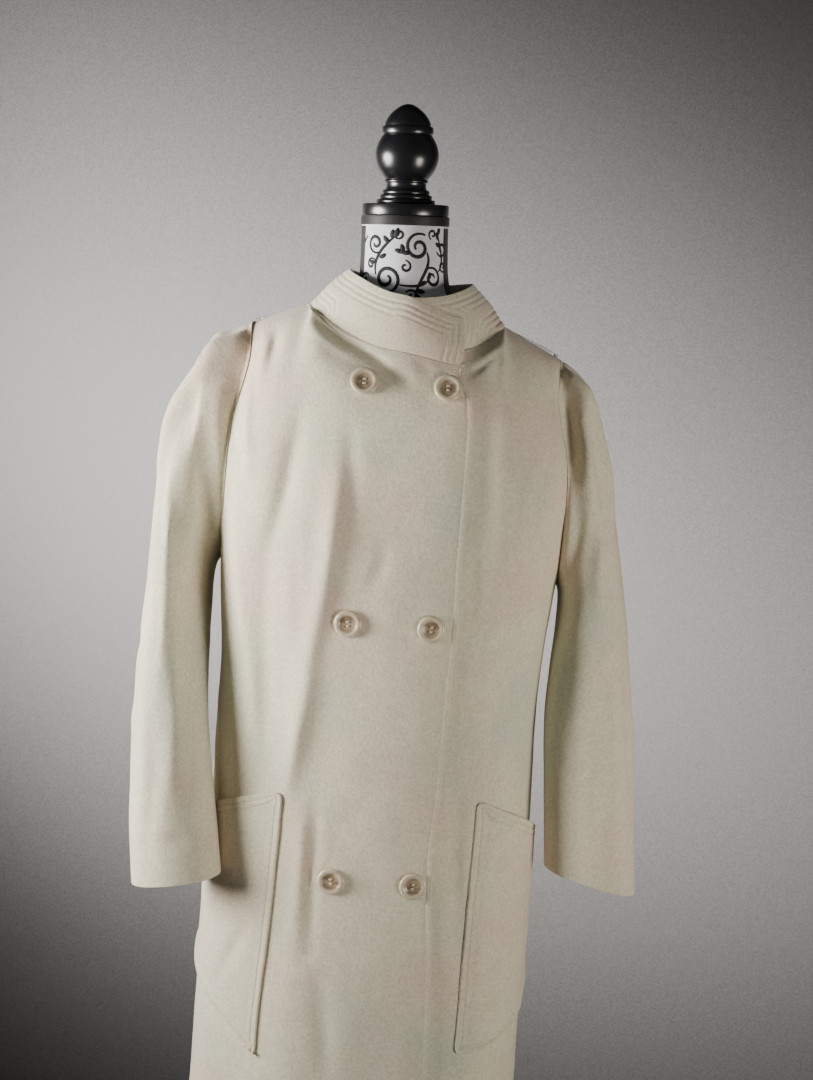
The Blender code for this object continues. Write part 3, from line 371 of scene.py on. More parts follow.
# folds that the cloth has on top of the solids' own
# seen from: points (across, height) down the fold, half width, height (a trough is negative)
creases = (
    ("front", ((-0.058, 1.196), (-0.062, 1.114), (-0.068, 1.048), (-0.079, 0.990)), 0.012, 0.0042),
    ("front", ((-0.079, 1.000), (-0.081, 0.938), (-0.086, 0.890), (-0.095, 0.832)), 0.010, 0.0024),
    ("front", ((-0.106, 1.253), (-0.115, 1.190), (-0.123, 1.152), (-0.132, 1.107)), 0.010, -0.0030),
    ("front", ((-0.132, 1.107), (-0.135, 1.049), (-0.130, 0.944), (-0.122, 0.862)), 0.010, -0.0018),
    ("front", ((-0.180, 1.146), (-0.172, 1.089), (-0.152, 0.988), (-0.134, 0.884)), 0.009, 0.0018),
    ("front", ((-0.100, 1.122), (-0.093, 1.007)), 0.008, -0.0012),
    ("front", ((-0.161, 1.360), (-0.157, 1.333), (-0.157, 1.290)), 0.009, 0.0030),
    ("front", ((-0.143, 1.354), (-0.143, 1.338), (-0.144, 1.315)), 0.008, -0.0040),
    ("front", ((-0.178, 1.350), (-0.183, 1.317), (-0.185, 1.270), (-0.182, 1.224), (-0.165, 1.160)), 0.0120, -0.0014),
    ("front", ((-0.206, 1.290), (-0.203, 1.255), (-0.198, 1.212), (-0.190, 1.160)), 0.012, 0.0030),
    ("front", ((-0.168, 1.345), (-0.170, 1.290), (-0.168, 1.240), (-0.163, 1.190)), 0.008, 0.0026),
    ("front", ((-0.188, 1.190), (-0.194, 1.130), (-0.198, 1.070)), 0.010, 0.0036),
    ("front", ((0.206, 1.215), (0.212, 1.150), (0.214, 1.080)), 0.010, 0.0048),
    ("front", ((-0.222, 1.215), (-0.216, 1.130), (-0.222, 1.030)), 0.012, -0.0024),
    ("front", ((-0.236, 0.960), (-0.224, 0.890), (-0.228, 0.820)), 0.012, 0.0022),
    ("front", ((-0.255, 0.900), (-0.248, 0.830), (-0.250, 0.750)), 0.010, -0.0016),
    ("front", ((-0.232, 0.764), (-0.216, 0.762), (-0.200, 0.759)), 0.006, -0.0022),
    ("front", ((-0.076, 0.801), (-0.075, 0.759), (-0.077, 0.674), (-0.076, 0.632)), 0.008, 0.0014),
    ("front", ((-0.060, 0.809), (-0.059, 0.725), (-0.056, 0.633)), 0.007, -0.0022),
    ("front", ((-0.043, 0.604), (-0.033, 0.543), (-0.026, 0.482)), 0.010, -0.0016),
    ("front", ((-0.131, 0.661), (-0.147, 0.621), (-0.167, 0.574)), 0.008, -0.0022),
    ("front", ((0.088, 0.735), (0.097, 0.674), (0.106, 0.613)), 0.008, 0.0012),
    ("front", ((0.103, 0.843), (0.107, 0.771), (0.112, 0.711), (0.117, 0.650)), 0.007, -0.0016),
    ("front", ((0.182, 1.235), (0.170, 1.183), (0.168, 1.149)), 0.010, -0.0020),
    ("front", ((0.107, 1.113), (0.107, 1.044)), 0.008, -0.0014),
    ("front", ((0.178, 1.350), (0.186, 1.298), (0.192, 1.252), (0.194, 1.195)), 0.008, 0.0026),
    ("front", ((0.194, 1.325), (0.204, 1.274), (0.211, 1.240), (0.213, 1.205)), 0.0075, -0.0080),
    ("front", ((0.221, 1.316), (0.220, 1.276), (0.228, 1.235), (0.228, 1.165)), 0.0090, 0.0045),
    ("front", ((0.246, 1.180), (0.242, 1.110), (0.250, 1.030)), 0.011, -0.0022),
    ("front", ((0.262, 0.960), (0.272, 0.880), (0.270, 0.800)), 0.012, -0.0020),
    ("front", ((-0.048, 1.252), (-0.039, 1.150)), 0.008, -0.0014),
    ("front", ((0.003, 1.130), (-0.004, 1.095), (-0.016, 1.069)), 0.007, -0.0014),
    ("front", ((0.135, 0.951), (0.145, 0.855)), 0.008, -0.0018),
    ("front", ((-0.102, 1.374), (-0.086, 1.361), (-0.063, 1.348), (-0.046, 1.342), (-0.026, 1.330), (0.002, 1.308)),
     0.0048, -0.0028),
    ("front", ((-0.105, 1.366), (-0.088, 1.352), (-0.064, 1.338), (-0.048, 1.333)), 0.0060, 0.0016),
    ("front", ((-0.046, 1.345), (-0.022, 1.330), (0.004, 1.310)), 0.0070, -0.0022),
    ("front", ((0.002, 1.322), (0.014, 1.304)), 0.0045, -0.0018),
    ("front", ((0.028, 1.334), (0.034, 1.316)), 0.0040, -0.0014),
    ("front", ((0.084, 1.323), (0.098, 1.331), (0.115, 1.346)), 0.0060, -0.0034),
    ("front", ((0.104, 1.346), (0.122, 1.358), (0.134, 1.362)), 0.0050, 0.0012),
    ("front", ((-0.085, 0.46), (-0.092, 0.36), (-0.096, 0.27)), 0.016, -0.0030),
    ("front", ((0.045, 0.43), (0.052, 0.34), (0.050, 0.27)), 0.013, -0.0026),
    ("back", ((-0.075, 1.22), (-0.092, 1.08), (-0.088, 0.95)), 0.010, -0.0034),
    ("back", ((-0.052, 1.19), (-0.064, 1.06), (-0.066, 0.97)), 0.012, 0.0030),
    ("back", ((0.060, 1.25), (0.078, 1.14), (0.074, 1.04)), 0.009, -0.0030),
    ("back", ((0.108, 1.20), (0.116, 1.10), (0.112, 0.98)), 0.011, 0.0032),
    ("back", ((-0.020, 1.05), (-0.030, 0.90), (-0.022, 0.77)), 0.011, -0.0032),
    ("back", ((0.120, 0.93), (0.112, 0.78), (0.118, 0.64)), 0.012, -0.0034),
    ("back", ((-0.130, 0.86), (-0.122, 0.74), (-0.128, 0.62)), 0.010, 0.0028),
    ("back", ((-0.050, 0.55), (-0.060, 0.40), (-0.056, 0.27)), 0.013, -0.0034),
    ("back", ((0.050, 0.48), (0.062, 0.36), (0.060, 0.27)), 0.011, -0.0030),
    ("back", ((-0.050, 1.350), (-0.030, 1.338), (-0.012, 1.330)), 0.0055, -0.0016),
    ("back", ((0.075, 1.352), (0.058, 1.338), (0.040, 1.332)), 0.0055, -0.0016),
    ("back", ((-0.150, 1.350), (-0.152, 1.310), (-0.160, 1.250)), 0.009, 0.0030),
    ("back", ((0.160, 1.340), (0.164, 1.300), (0.172, 1.240)), 0.009, 0.0030),
    ("back", ((-0.228, 1.06), (-0.238, 1.00), (-0.246, 0.955)), 0.009, -0.0030),
    ("back", ((-0.248, 1.02), (-0.240, 0.955), (-0.222, 0.905)), 0.009, -0.0026),
    ("back", ((0.236, 1.05), (0.248, 0.985), (0.262, 0.945)), 0.009, -0.0030),
    ("back", ((0.268, 0.98), (0.256, 0.925), (0.242, 0.885)), 0.009, -0.0026),
    ("left", ((0.030, 1.230), (0.012, 1.130), (-0.008, 1.050)), 0.012, -0.0036),
    ("left", ((-0.034, 1.010), (-0.008, 0.972), (0.022, 0.958)), 0.012, -0.0014),
    ("left", ((-0.050, 0.930), (-0.020, 0.890), (0.010, 0.880)), 0.012, 0.0010),
    ("left", ((-0.020, 0.56), (-0.012, 0.40), (-0.018, 0.27)), 0.016, -0.0036),
    ("right", ((0.026, 1.220), (0.000, 1.120), (-0.030, 1.040)), 0.012, -0.0036),
    ("right", ((-0.086, 1.000), (-0.050, 0.966), (-0.016, 0.954)), 0.012, -0.0014),
    ("right", ((-0.100, 0.910), (-0.070, 0.880), (-0.040, 0.876)), 0.012, 0.0010),
    ("right", ((0.020, 0.56), (0.012, 0.42), (0.016, 0.27)), 0.016, -0.0036),
)
viewDirections = {"front": Vector((0, 1, 0)), "back": Vector((0, -1, 0)),
                  "left": Vector((-1, 0, 0)), "right": Vector((1, 0, 0))}
creaseSteps = 6               # places read between two points of a fold
creaseGain = 1.6              # how strongly the folds of the table are pressed into the cloth


def coatSurface():
    # all the solids of the coat as one surface
    places, faces = [], []
    for name in clothPieces:
        mesh = nodes[name].data
        first = len(places)
        places += [vert.co.copy() for vert in mesh.vertices]
        faces += [[first + index for index in face.vertices] for face in mesh.polygons]
    return BVHTree.FromPolygons(places, faces)


def snapped(surface, view, points):
    # places down the fold, thrown onto the surface as seen from that side; None where it misses
    ahead = viewDirections[view]
    found = []
    for number in range((len(points) - 1) * creaseSteps + 1):
        piece, step = divmod(number, creaseSteps)
        first, second = points[piece], points[min(piece + 1, len(points) - 1)]
        across = first[0] + (second[0] - first[0]) * step / creaseSteps
        height = first[1] + (second[1] - first[1]) * step / creaseSteps
        start = Vector((across, 0, height)) if ahead.y else Vector((0, across, height))
        found.append(surface.ray_cast(start - ahead, ahead)[0])
    return found


def creaseShift(places):
    # how far the folds move each place, towards the side that they are seen from
    total = np.zeros((len(places), 3))
    for view, line, width, height in creaseLines:
        shown = np.array([place for place in line if place is not None])
        if len(shown) < 2:
            continue
        reach = 3 * width
        near = np.flatnonzero(((places > shown.min(axis=0) - reach) & (places < shown.max(axis=0) + reach)).all(axis=1))
        if not len(near):
            continue
        here = places[near]
        nearest = np.full(len(near), 9.0)
        along = np.zeros(len(near))
        for number, (first, second) in enumerate(zip(line, line[1:])):
            if first is None or second is None or (second - first).length > 0.05:
                continue
            start, run = np.array(first), np.array(second - first)
            share = np.clip((here - start) @ run / (run @ run), 0.0, 1.0)
            distance = np.linalg.norm(here - (start + share[:, None] * run), axis=1)
            closer = distance < nearest
            nearest[closer] = distance[closer]
            along[closer] = (number + share[closer]) / (len(line) - 1)
        fade = np.sin(np.pi * (0.10 + 0.80 * along))
        lift = creaseGain * height * fade * np.exp(-(nearest / width) ** 2)
        total[near] -= lift[:, None] * np.array(viewDirections[view])
    return total


buttonNames = sorted(name for name in nodes if name.startswith("button"))
buttonMiddles = [(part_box(name)[0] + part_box(name)[1]) / 2 for name in buttonNames]
# soft unevenness of worn cloth: height and how many to the metre; and the room kept calm round a button
ripple = {"waves": ((0.0024, 6.5), (0.0011, 15.0), (0.0004, 34.0)), "buttonRoom": 0.0175}


def rippleShift(places):
    return np.array([sum((height * noise.noise_vector(Vector(place) * scale) for height, scale in ripple["waves"]),
                         Vector()) for place in places])


def buttonCalm(places, fade):
    # the cloth stays as the solid has it under the buttons
    calm = np.ones(len(places))
    for middle in buttonMiddles:
        distance = np.linalg.norm(places - np.array(middle), axis=1)
        calm *= np.clip((distance - ripple["buttonRoom"]) / fade, 0.0, 1.0)
    return calm[:, None]


# the pockets' lower edges: how far they stand out above the panel's dip below them, and how wide that is
footLook = {"lift": 0.0065, "wide": 0.0060}


def pocketFeet():
    # a tree of the places along the lower edges of both pockets
    places = []
    for name in ("pocket_left", "pocket_right"):
        mesh = nodes[name].data
        for face in mesh.polygons:
            if face.normal.z < -0.3:
                corners = [mesh.vertices[index].co for index in face.vertices]
                places += [first.lerp(second, share) for first in corners for second in corners
                           for share in (0.0, 0.25, 0.5)]
    tree = KDTree(len(places))
    for number, place in enumerate(places):
        tree.insert(place, number)
    tree.balance()
    return tree


def footShift(places):
    shift = np.zeros((len(places), 3))
    for number, place in enumerate(places):
        nearest, _index, distance = footTree.find(place)
        if distance < 3 * footLook["wide"]:
            away = (place[2] - nearest.z) / footLook["wide"]
            lift = footLook["lift"] * away * math.exp(-(distance / footLook["wide"]) ** 2)
            outward = Vector((place[0] * 0.7, place[1], 0.0)).normalized()
            shift[number] = outward * lift
    return shift


clothLook = {
    "rowLimit": 0.032,        # longer rows are split
    "sharp": 48,              # degrees, where the wall's face ends
    "edgeRound": 0.0005,
    "grooveDepth": 0.0010,
    "grooveHalf": 0.0015,
}


def freeEdge(away):
    return 1.0 if away.x > 0.5 else 0.0


def topEdge(away):
    return 1.0 if away.z > 0.4 else 0.0


def pocketRim(away):
    return 1.0 if away.z > 0.4 else 0.6


# what each piece is cut to, how far in its stitch rows lie, and how deep they are beside each edge
clothPieces = {
    "front_right": {"flat": (0.41, 1.14), "area": 0.400, "rows": ((0.0064, freeEdge),)},
    "front_left": {"flat": (0.39, 1.14), "area": 0.380, "rows": ()},
    "back": {"flat": (0.62, 1.14), "area": 0.585, "rows": ()},
    "sleeve_left": {"flat": (0.42, 0.68), "area": 0.205, "rows": ()},
    "sleeve_right": {"flat": (0.42, 0.68), "area": 0.205, "rows": ()},
    "collar": {"flat": (0.66, 0.062), "area": 0.040, "rows": (), "levels": 3},
    "pocket_left": {"flat": (0.20, 0.31), "area": 0.051, "rows": ((0.0060, pocketRim), (0.0128, topEdge))},
    "pocket_right": {"flat": (0.22, 0.33), "area": 0.050, "rows": ((0.0060, pocketRim), (0.0128, topEdge))},
}
stitchRuns = []               # runs of points along the grooves, on the finished cloth
footTree = pocketFeet()
creaseLines = [(view, snapped(coatSurface(), view, points), width, height)
               for view, points, width, height in creases]


def outerRegion(wall, middle):
    # the faces between sharp edges whose normals point away from the middle most
    limit = math.radians(clothLook["sharp"])
    left = set(wall.faces)
    best, bestFlow = None, -1.0
    while left:
        region, waiting = [], [left.pop()]
        while waiting:
            face = waiting.pop()
            region.append(face)
            for edge in face.edges:
                if len(edge.link_faces) == 2 and edge.calc_face_angle() < limit:
                    for other in edge.link_faces:
                        if other in left:
                            left.remove(other)
                            waiting.append(other)
        flow = 0.0
        for face in region:
            centre = face.calc_center_median()
            flow += face.calc_area() * face.normal.dot(centre - Vector((middle.x, middle.y, centre.z)))
        if flow > bestFlow:
            best, bestFlow = region, flow
    return best


def rimReader(wall, rim, outerSet):
    # tells which way the nearest edge of the wall faces
    places, ways = [], []
    for face in rim:
        for edge in face.edges:
            if any(other in outerSet for other in edge.link_faces):
                for share in (0.1, 0.3, 0.5, 0.7, 0.9):
                    places.append(edge.verts[0].co.lerp(edge.verts[1].co, share))
                    ways.append(face.normal.copy())
    tree = KDTree(len(places))
    for number, place in enumerate(places):
        tree.insert(place, number)
    tree.balance()
    return lambda place: ways[tree.find(place)[1]]


def orderedRun(edges):
    # the points of a loop of edges, one after the other
    neighbours = {}
    for edge in edges:
        first, second = edge.verts
        neighbours.setdefault(first, []).append(second)
        neighbours.setdefault(second, []).append(first)
    start = next(iter(neighbours))
    run, before = [start], None
    while True:
        ahead = [vert for vert in neighbours[run[-1]] if vert is not before]
        if not ahead or ahead[0] is start:
            return run
        before = run[-1]
        run.append(ahead[0])


def clothMesh(name):
    settings = clothPieces[name]
    low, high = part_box(name)
    middle = (low + high) / 2 if name.startswith("sleeve") else Vector((0, 0, 0))
    wall = mergedNode(name)
    rows = [edge for edge in wall.edges if edge.calc_length() > clothLook["rowLimit"]]
    bmesh.ops.subdivide_edges(wall, edges=rows, cuts=1, use_grid_fill=True)
    wall.normal_update()
    outer = outerRegion(wall, middle)
    outerSet = set(outer)
    rim = {face for face in wall.faces if face not in outerSet
           and any(other in outerSet for edge in face.edges for other in edge.link_faces)}
    corners = [edge for edge in wall.edges if len(edge.link_faces) == 2
               and sum(face in rim for face in edge.link_faces) == 1]
    facing = rimReader(wall, rim, outerSet)
    for face in wall.faces:
        face.material_index = 0 if face in outerSet else 1
    depth = 0.0
    half = clothLook["grooveHalf"]
    even = not name.startswith("pocket")
    stitched = []
    for row, rule in settings["rows"]:
        bmesh.ops.inset_region(wall, faces=outer, thickness=row - depth - half, use_even_offset=even)
        ring = set(bmesh.ops.inset_region(wall, faces=outer, thickness=half, use_even_offset=even)["faces"])
        inside = set(outer)
        edges = [edge for face in ring for edge in face.edges if any(other in inside for other in edge.link_faces)]
        bmesh.ops.inset_region(wall, faces=outer, thickness=half, use_even_offset=even)
        wall.normal_update()
        run = orderedRun(edges)
        shares = [rule(facing(vert.co)) for vert in run]
        stitched.append((run, shares))
        for vert, share in zip(run, shares):
            vert.co -= vert.normal * clothLook["grooveDepth"] * share
        depth = row + half
    corners = [edge for edge in corners if edge.is_valid]
    bmesh.ops.bevel(wall, geom=corners, offset=clothLook["edgeRound"], offset_type="OFFSET", segments=1,
                    profile=0.5, affect="EDGES", material=-1, clamp_overlap=True)
    wall.verts.index_update()
    runs = [([vert.index for vert in run], shares) for run, shares in stitched]
    return subdivided(meshFrom(wall, name), settings.get("levels", 2)), runs


# rows of topstitching that run along the collar's top edge and turn down its squared end
collarLook = {"rows": (0.0074, 0.0143, 0.0214), "half": 0.0014, "depth": 0.0013, "top": 0.6, "end": 1.5,
              "under": 0.001, "roll": 0.0012, "rollWide": 0.0055, "fineTo": 0.026, "sideFrom": -0.045}


def collarEdges(mesh, onFace):
    # places along the collar's top edge and squared end, each with its share of the stitching's depth
    found = []
    for face in mesh.polygons:
        if face.material_index == 1:
            atEnd = face.normal.x > 0.75 and face.center.x > 0.04 and face.center.y < 0
            atTop = face.normal.z > 0.35 and (abs(face.normal.x) < 0.6 or face.center.y > collarLook["sideFrom"])
            share = collarLook["end"] if atEnd else collarLook["top"] if atTop else 0.0
            found += [(mesh.vertices[index].co.copy(), share, atEnd) for index in face.vertices if index in onFace]
    return [edge for edge in found if edge[1] > 0.0]


def faceVertices(mesh):
    return {index for face in mesh.polygons if face.material_index == 0 for index in face.vertices}


def finerFace(mesh, edges):
    # smaller faces where the collar's stitching lies
    tree = KDTree(len(edges))
    for number, edge in enumerate(edges):
        tree.insert(edge[0], number)
    tree.balance()
    shape = bmesh.new()
    shape.from_mesh(mesh)
    near = {edge for face in shape.faces if face.material_index == 0
            and tree.find(face.calc_center_median())[2] < collarLook["fineTo"] for edge in face.edges}
    bmesh.ops.subdivide_edges(shape, edges=list(near), cuts=1, use_grid_fill=True)
    shape.to_mesh(mesh)
    shape.free()


def stitchCollar(mesh):
    finerFace(mesh, collarEdges(mesh, faceVertices(mesh)))
    onFace = faceVertices(mesh)
    edges = collarEdges(mesh, onFace)
    shifts = []
    trees = []
    for end in (False, True):
        tree = KDTree(len(edges))
        for number, (place, _share, atEnd) in enumerate(edges):
            if atEnd == end:
                tree.insert(place, number)
        tree.balance()
        trees.append(tree)
    for index in onFace:
        vert = mesh.vertices[index]
        _place, number, distance = trees[0].find(vert.co)
        endPlace, endNumber, endDistance = trees[1].find(vert.co)
        # the end's rows lie only on the flap itself, not on the collar under it
        if endDistance < distance and vert.co.x < endPlace.x + collarLook["under"]:
            number, distance = endNumber, endDistance
        depth = sum(math.exp(-((distance - row) / collarLook["half"]) ** 2) for row in collarLook["rows"])
        roll = max(0.0, 1.0 - distance / collarLook["rollWide"]) ** 0.5 if edges[number][2] else 0.0
        shifts.append((vert, vert.normal * (roll * collarLook["roll"] - depth * collarLook["depth"] * edges[number][1])))
    for vert, shift in shifts:
        vert.co += shift
    mesh.update()


def makeCloth(name, finish):
    mesh, runs = clothMesh(name)
    if name == "collar":
        stitchCollar(mesh)
    places = coordinates(mesh)
    shift = rippleShift(places) * buttonCalm(places, 0.030) + creaseShift(places) * buttonCalm(places, 0.008)
    shift += footShift(places)
    mesh.vertices.foreach_set("co", (places + shift).ravel())
    mesh.update()
    piece = belongs(asPiece(name + "_cloth", mesh, finish), "wool", name)
    surface = surfaceOf(mesh)
    for run, shares in runs:
        stitchRuns.append((surface, [mesh.vertices[index].co.copy() for index in run], shares))
    print("cloth", name, len(mesh.polygons) * 2, "triangles, area",
          round(sum(face.area for face in mesh.polygons) / 2, 4))
    return piece


stitchLook = {"pitch": 0.0036, "length": 0.0025, "radius": 0.00028, "sides": 6, "sink": 0.00008, "least": 0.5}


def addStitch(shape, place, along, normal):
    # one short stitch, an even rod lying along the seam
    made = bmesh.ops.create_cone(shape, cap_ends=True, segments=stitchLook["sides"],
                                 radius1=stitchLook["radius"], radius2=stitchLook["radius"],
                                 depth=stitchLook["length"])["verts"]
    across = normal.cross(along).normalized()
    turn = Matrix((across, normal, along)).transposed().to_4x4()
    bmesh.ops.transform(shape, matrix=Matrix.Translation(place) @ turn, verts=made)


def makeStitches(finish):
    shape = bmesh.new()
    for surface, run, shares in stitchRuns:
        left = 0.0
        for first, second, share in zip(run, run[1:] + run[:1], shares):
            length = (second - first).length
            if length < 1e-6 or length > 0.2:
                continue
            along = (second - first) / length
            while left < length:
                place, normal, _index, _distance = surface.find_nearest(first + along * left)
                if share >= stitchLook["least"]:
                    addStitch(shape, place + normal * stitchLook["sink"], along, normal)
                left += stitchLook["pitch"]
            left -= length
    piece = asPiece("topstitching", meshFrom(shape, "topstitching"), finish)
    print("topstitching", len(piece.data.polygons), "faces")
    return belongs(piece, "wool")


buttonLook = {
    "radius": 0.0160,
    # distance from the middle, height above the cloth
    "profile": ((0.0, 0.0026), (0.0050, 0.0026), (0.0082, 0.0028), (0.0096, 0.0034), (0.0108, 0.0043),
                (0.0122, 0.0046), (0.0140, 0.0045), (0.0153, 0.0039), (0.0160, 0.0029), (0.0158, 0.0018),
                (0.0148, 0.0005), (0.0130, 0.0), (0.0, 0.0)),
    "steps": 56,
    "holeRadius": 0.00125,
    "holeSpread": 0.0026,
    "threadRadius": 0.00042,
    "threadLift": 0.0029,
    "rimFrom": 0.0092,         # where the pale rim begins
    "rimFade": 0.0014,
}


def placeOnAxis(name):
    # a matrix that stands a shape on a button, at the foot of its middle and turned to its outward direction
    shape = mergedNode(name)
    places = np.array([vert.co for vert in shape.verts])
    shape.free()
    middle = places.mean(axis=0)
    axis = np.linalg.svd(places - middle)[2][2]
    axis = axis if axis[1] < 0 else -axis
    foot = ((places - middle) @ axis).min()
    turn = Vector((0, 0, 1)).rotation_difference(Vector(axis)).to_matrix().to_4x4()
    return Matrix.Translation(Vector(middle + axis * foot)) @ turn


def spunShape(profile, steps):
    # profile of (radius, height), turned once round the z axis
    shape = bmesh.new()
    verts = [shape.verts.new((radius, 0.0, height)) for radius, height in profile]
    edges = [shape.edges.new(pair) for pair in zip(verts, verts[1:])]
    bmesh.ops.spin(shape, geom=verts + edges, cent=(0, 0, 0), axis=(0, 0, 1), angle=math.tau,
                   steps=steps, use_merge=True)
    bmesh.ops.remove_doubles(shape, verts=shape.verts, dist=0.000005)
    bmesh.ops.recalc_face_normals(shape, faces=shape.faces)
    return shape


def holeCutter():
    shape = bmesh.new()
    for x in (-1, 1):
        for y in (-1, 1):
            place = Matrix.Translation((x * buttonLook["holeSpread"], y * buttonLook["holeSpread"], 0.002))
            bmesh.ops.create_cone(shape, cap_ends=True, segments=16, radius1=buttonLook["holeRadius"],
                                  radius2=buttonLook["holeRadius"], depth=0.008, matrix=place)
    cutter = bpy.data.objects.new("holes", meshFrom(shape, "holes"))
    bpy.context.scene.collection.objects.link(cutter)
    return cutter


def strandMesh(side, strand):
    # one strand of sewing thread, bent down into the holes at both ends
    shape = bmesh.new()
    reach = buttonLook["holeSpread"]
    bmesh.ops.create_cone(shape, cap_ends=True, segments=8, radius1=buttonLook["threadRadius"],
                          radius2=buttonLook["threadRadius"], depth=reach * 2)
    for cut in (-0.85, -0.6, -0.3, 0.0, 0.3, 0.6, 0.85):
        bmesh.ops.bisect_plane(shape, geom=shape.verts[:] + shape.edges[:] + shape.faces[:],
                               plane_co=(0, 0, cut * reach), plane_no=(0, 0, 1))
    bmesh.ops.transform(shape, matrix=Matrix.Rotation(math.radians(90), 4, "Y"), verts=shape.verts)
    for vert in shape.verts:
        share = abs(vert.co.x) / reach
        vert.co.z += buttonLook["threadLift"] - 0.0016 * share ** 4
        vert.co.y += side * reach + strand * 0.00062 * (1.0 - 0.45 * share)
    return meshFrom(shape, "strand")


def threadShape():
    # two bars of three strands each, from hole to hole
    shape = bmesh.new()
    for side in (-1, 1):
        for strand in (-1, 0, 1):
            shape.from_mesh(strandMesh(side, strand))
    return meshFrom(shape, "thread")


def makeButtons(horn, thread):
    plain = meshFrom(spunShape(buttonLook["profile"], buttonLook["steps"]), "button")
    cutter = holeCutter()
    drilled = evaluated(plain, "BOOLEAN", object=cutter, operation="DIFFERENCE", solver="EXACT")
    bpy.data.objects.remove(cutter)
    sewing = threadShape()
    rim = drilled.attributes.new("rim", "FLOAT", "POINT")
    for vert in drilled.vertices:
        share = (vert.co.xy.length - buttonLook["rimFrom"]) / buttonLook["rimFade"]
        rim.data[vert.index].value = min(1.0, max(0.0, share))
    for name in buttonNames:
        stand = placeOnAxis(name)
        mesh = drilled.copy()
        mesh.transform(stand)
        piece = asPiece(name + "_fine", mesh, horn)
        mesh.set_sharp_from_angle(angle=math.radians(50))
        belongs(piece, "horn", name)
        strands = sewing.copy()
        strands.transform(stand)
        belongs(asPiece(name + "_thread", strands, thread), "wool")
    print("buttons", len(buttonNames))


neckLook = {"lean": 2.3, "pivot": 1.400, "steps": 96, "top": 1.484, "radius": 0.0505}
coverLook = {"drawnIn": 0.006, "from": 1.385, "to": 1.350, "rimRound": 0.0016}


def leaned(place):
    pivot = Vector((0, 0, neckLook["pivot"]))
    return pivot + Matrix.Rotation(-math.radians(neckLook["lean"]), 3, "Y") @ (place - pivot)


def makeCover(finish):
    # the torso's cover: round and smooth, and drawn in a little where the coat hides it
    shape = mergedNode("form_body")
    shape.normal_update()
    rims = [edge for edge in shape.edges if len(edge.link_faces) == 2
            and edge.calc_face_angle() > math.radians(60) and abs(edge.verts[0].co.z - edge.verts[1].co.z) < 0.008]
    bmesh.ops.bevel(shape, geom=rims, offset=coverLook["rimRound"], offset_type="OFFSET", segments=1,
                    profile=0.5, affect="EDGES", material=-1, clamp_overlap=True)
    mesh = subdivided(meshFrom(shape, "cover"), 2, rounds=1)
    places = coordinates(mesh)
    normals = np.array([vert.normal for vert in mesh.vertices])
    share = np.clip((coverLook["from"] - places[:, 2]) / (coverLook["from"] - coverLook["to"]), 0.0, 1.0)
    places -= normals * (share * coverLook["drawnIn"])[:, None]
    mesh.vertices.foreach_set("co", places.ravel())
    mesh.update()
    piece = belongs(asPiece("form_cover", mesh, finish), "cover", "form_body")
    print("form cover", len(mesh.polygons), "faces")
    return piece, surfaceOf(mesh)


# own scrollwork, in millimetres round the neck (0 at the front) and above its foot
printLook = {"lift": 0.00016, "thick": 0.00014, "steps": 30, "neckFoot": 1.400, "around": 0.0507}
scrolls = (
    # middle, radius, turns, start in degrees, way round, line width
    ((-20, 22), 18.0, 1.50, 250, 1, 4.6),
    ((17, 60), 17.0, 1.45, 60, 1, 4.6),
    ((36, 26), 13.0, 1.35, 130, -1, 4.0),
    ((-36, 62), 12.0, 1.35, 300, -1, 4.0),
    ((-52, 18), 10.0, 1.25, 40, 1, 3.6),
    ((52, 60), 10.0, 1.25, 200, 1, 3.6),
    ((2, 37), 7.5, 1.10, 90, -1, 3.2),
    ((-6, 74), 6.5, 1.10, 200, 1, 3.0),
    ((-42, 38), 7.5, 1.15, 20, 1, 3.2),
    ((54, 40), 7.0, 1.15, 320, -1, 3.0),
    ((10, 4), 8.0, 1.20, 150, -1, 3.2),
    ((36, 76), 6.5, 1.10, 250, -1, 3.0),
)
stems = (
    # four points of a curve, line width
    ((-34, 26), (-40, 44), (-26, 58), (-12, 70), 4.0),
    ((28, 55), (36, 40), (22, 30), (14, 8), 4.0),
    ((46, 34), (58, 44), (50, 58), (44, 76), 3.6),
    ((-50, 70), (-64, 60), (-62, 40), (-66, 28), 3.2),
    ((-4, 16), (10, 14), (26, 16), (30, 24), 3.2),
    ((58, 10), (66, 22), (64, 34), (70, 46), 3.2),
)
leaves = (
    # foot, length, direction in degrees, bend in degrees, width
    ((-12, 70), 12, 50, 40, 6.6), ((-14, 68), 11, 100, -40, 6.2), ((-17, 64), 11, 160, -50, 5.8),
    ((14, 8), 11, 280, 50, 6.2), ((15, 12), 10, 330, 40, 5.8), ((18, 17), 10, 20, 30, 5.1),
    ((44, 76), 10, 60, 40, 5.5), ((46, 70), 10, 130, -40, 5.5), ((49, 63), 9, 170, -30, 5.1),
    ((-66, 28), 10, 250, 40, 5.5), ((-64, 36), 10, 300, 40, 5.1), ((-30, 46), 10, 10, 40, 5.5),
    ((-36, 40), 9, 190, -40, 5.1), ((30, 24), 9, 60, 40, 5.1), ((70, 46), 9, 110, -40, 5.1),
    ((-2, 52), 11, 80, 40, 6.2), ((-2, 52), 10, 140, 40, 5.5), ((-2, 52), 10, 20, -40, 5.5),
)


def scrollPath(middle, radius, turns, start, way):
    points = []
    for step in range(printLook["steps"] + 1):
        share = step / printLook["steps"]
        angle = math.radians(start) + way * math.tau * turns * share
        reach = radius * (1.0 - 0.80 * share ** 0.85)
        points.append((middle[0] + reach * math.cos(angle), middle[1] + reach * math.sin(angle)))
    return points


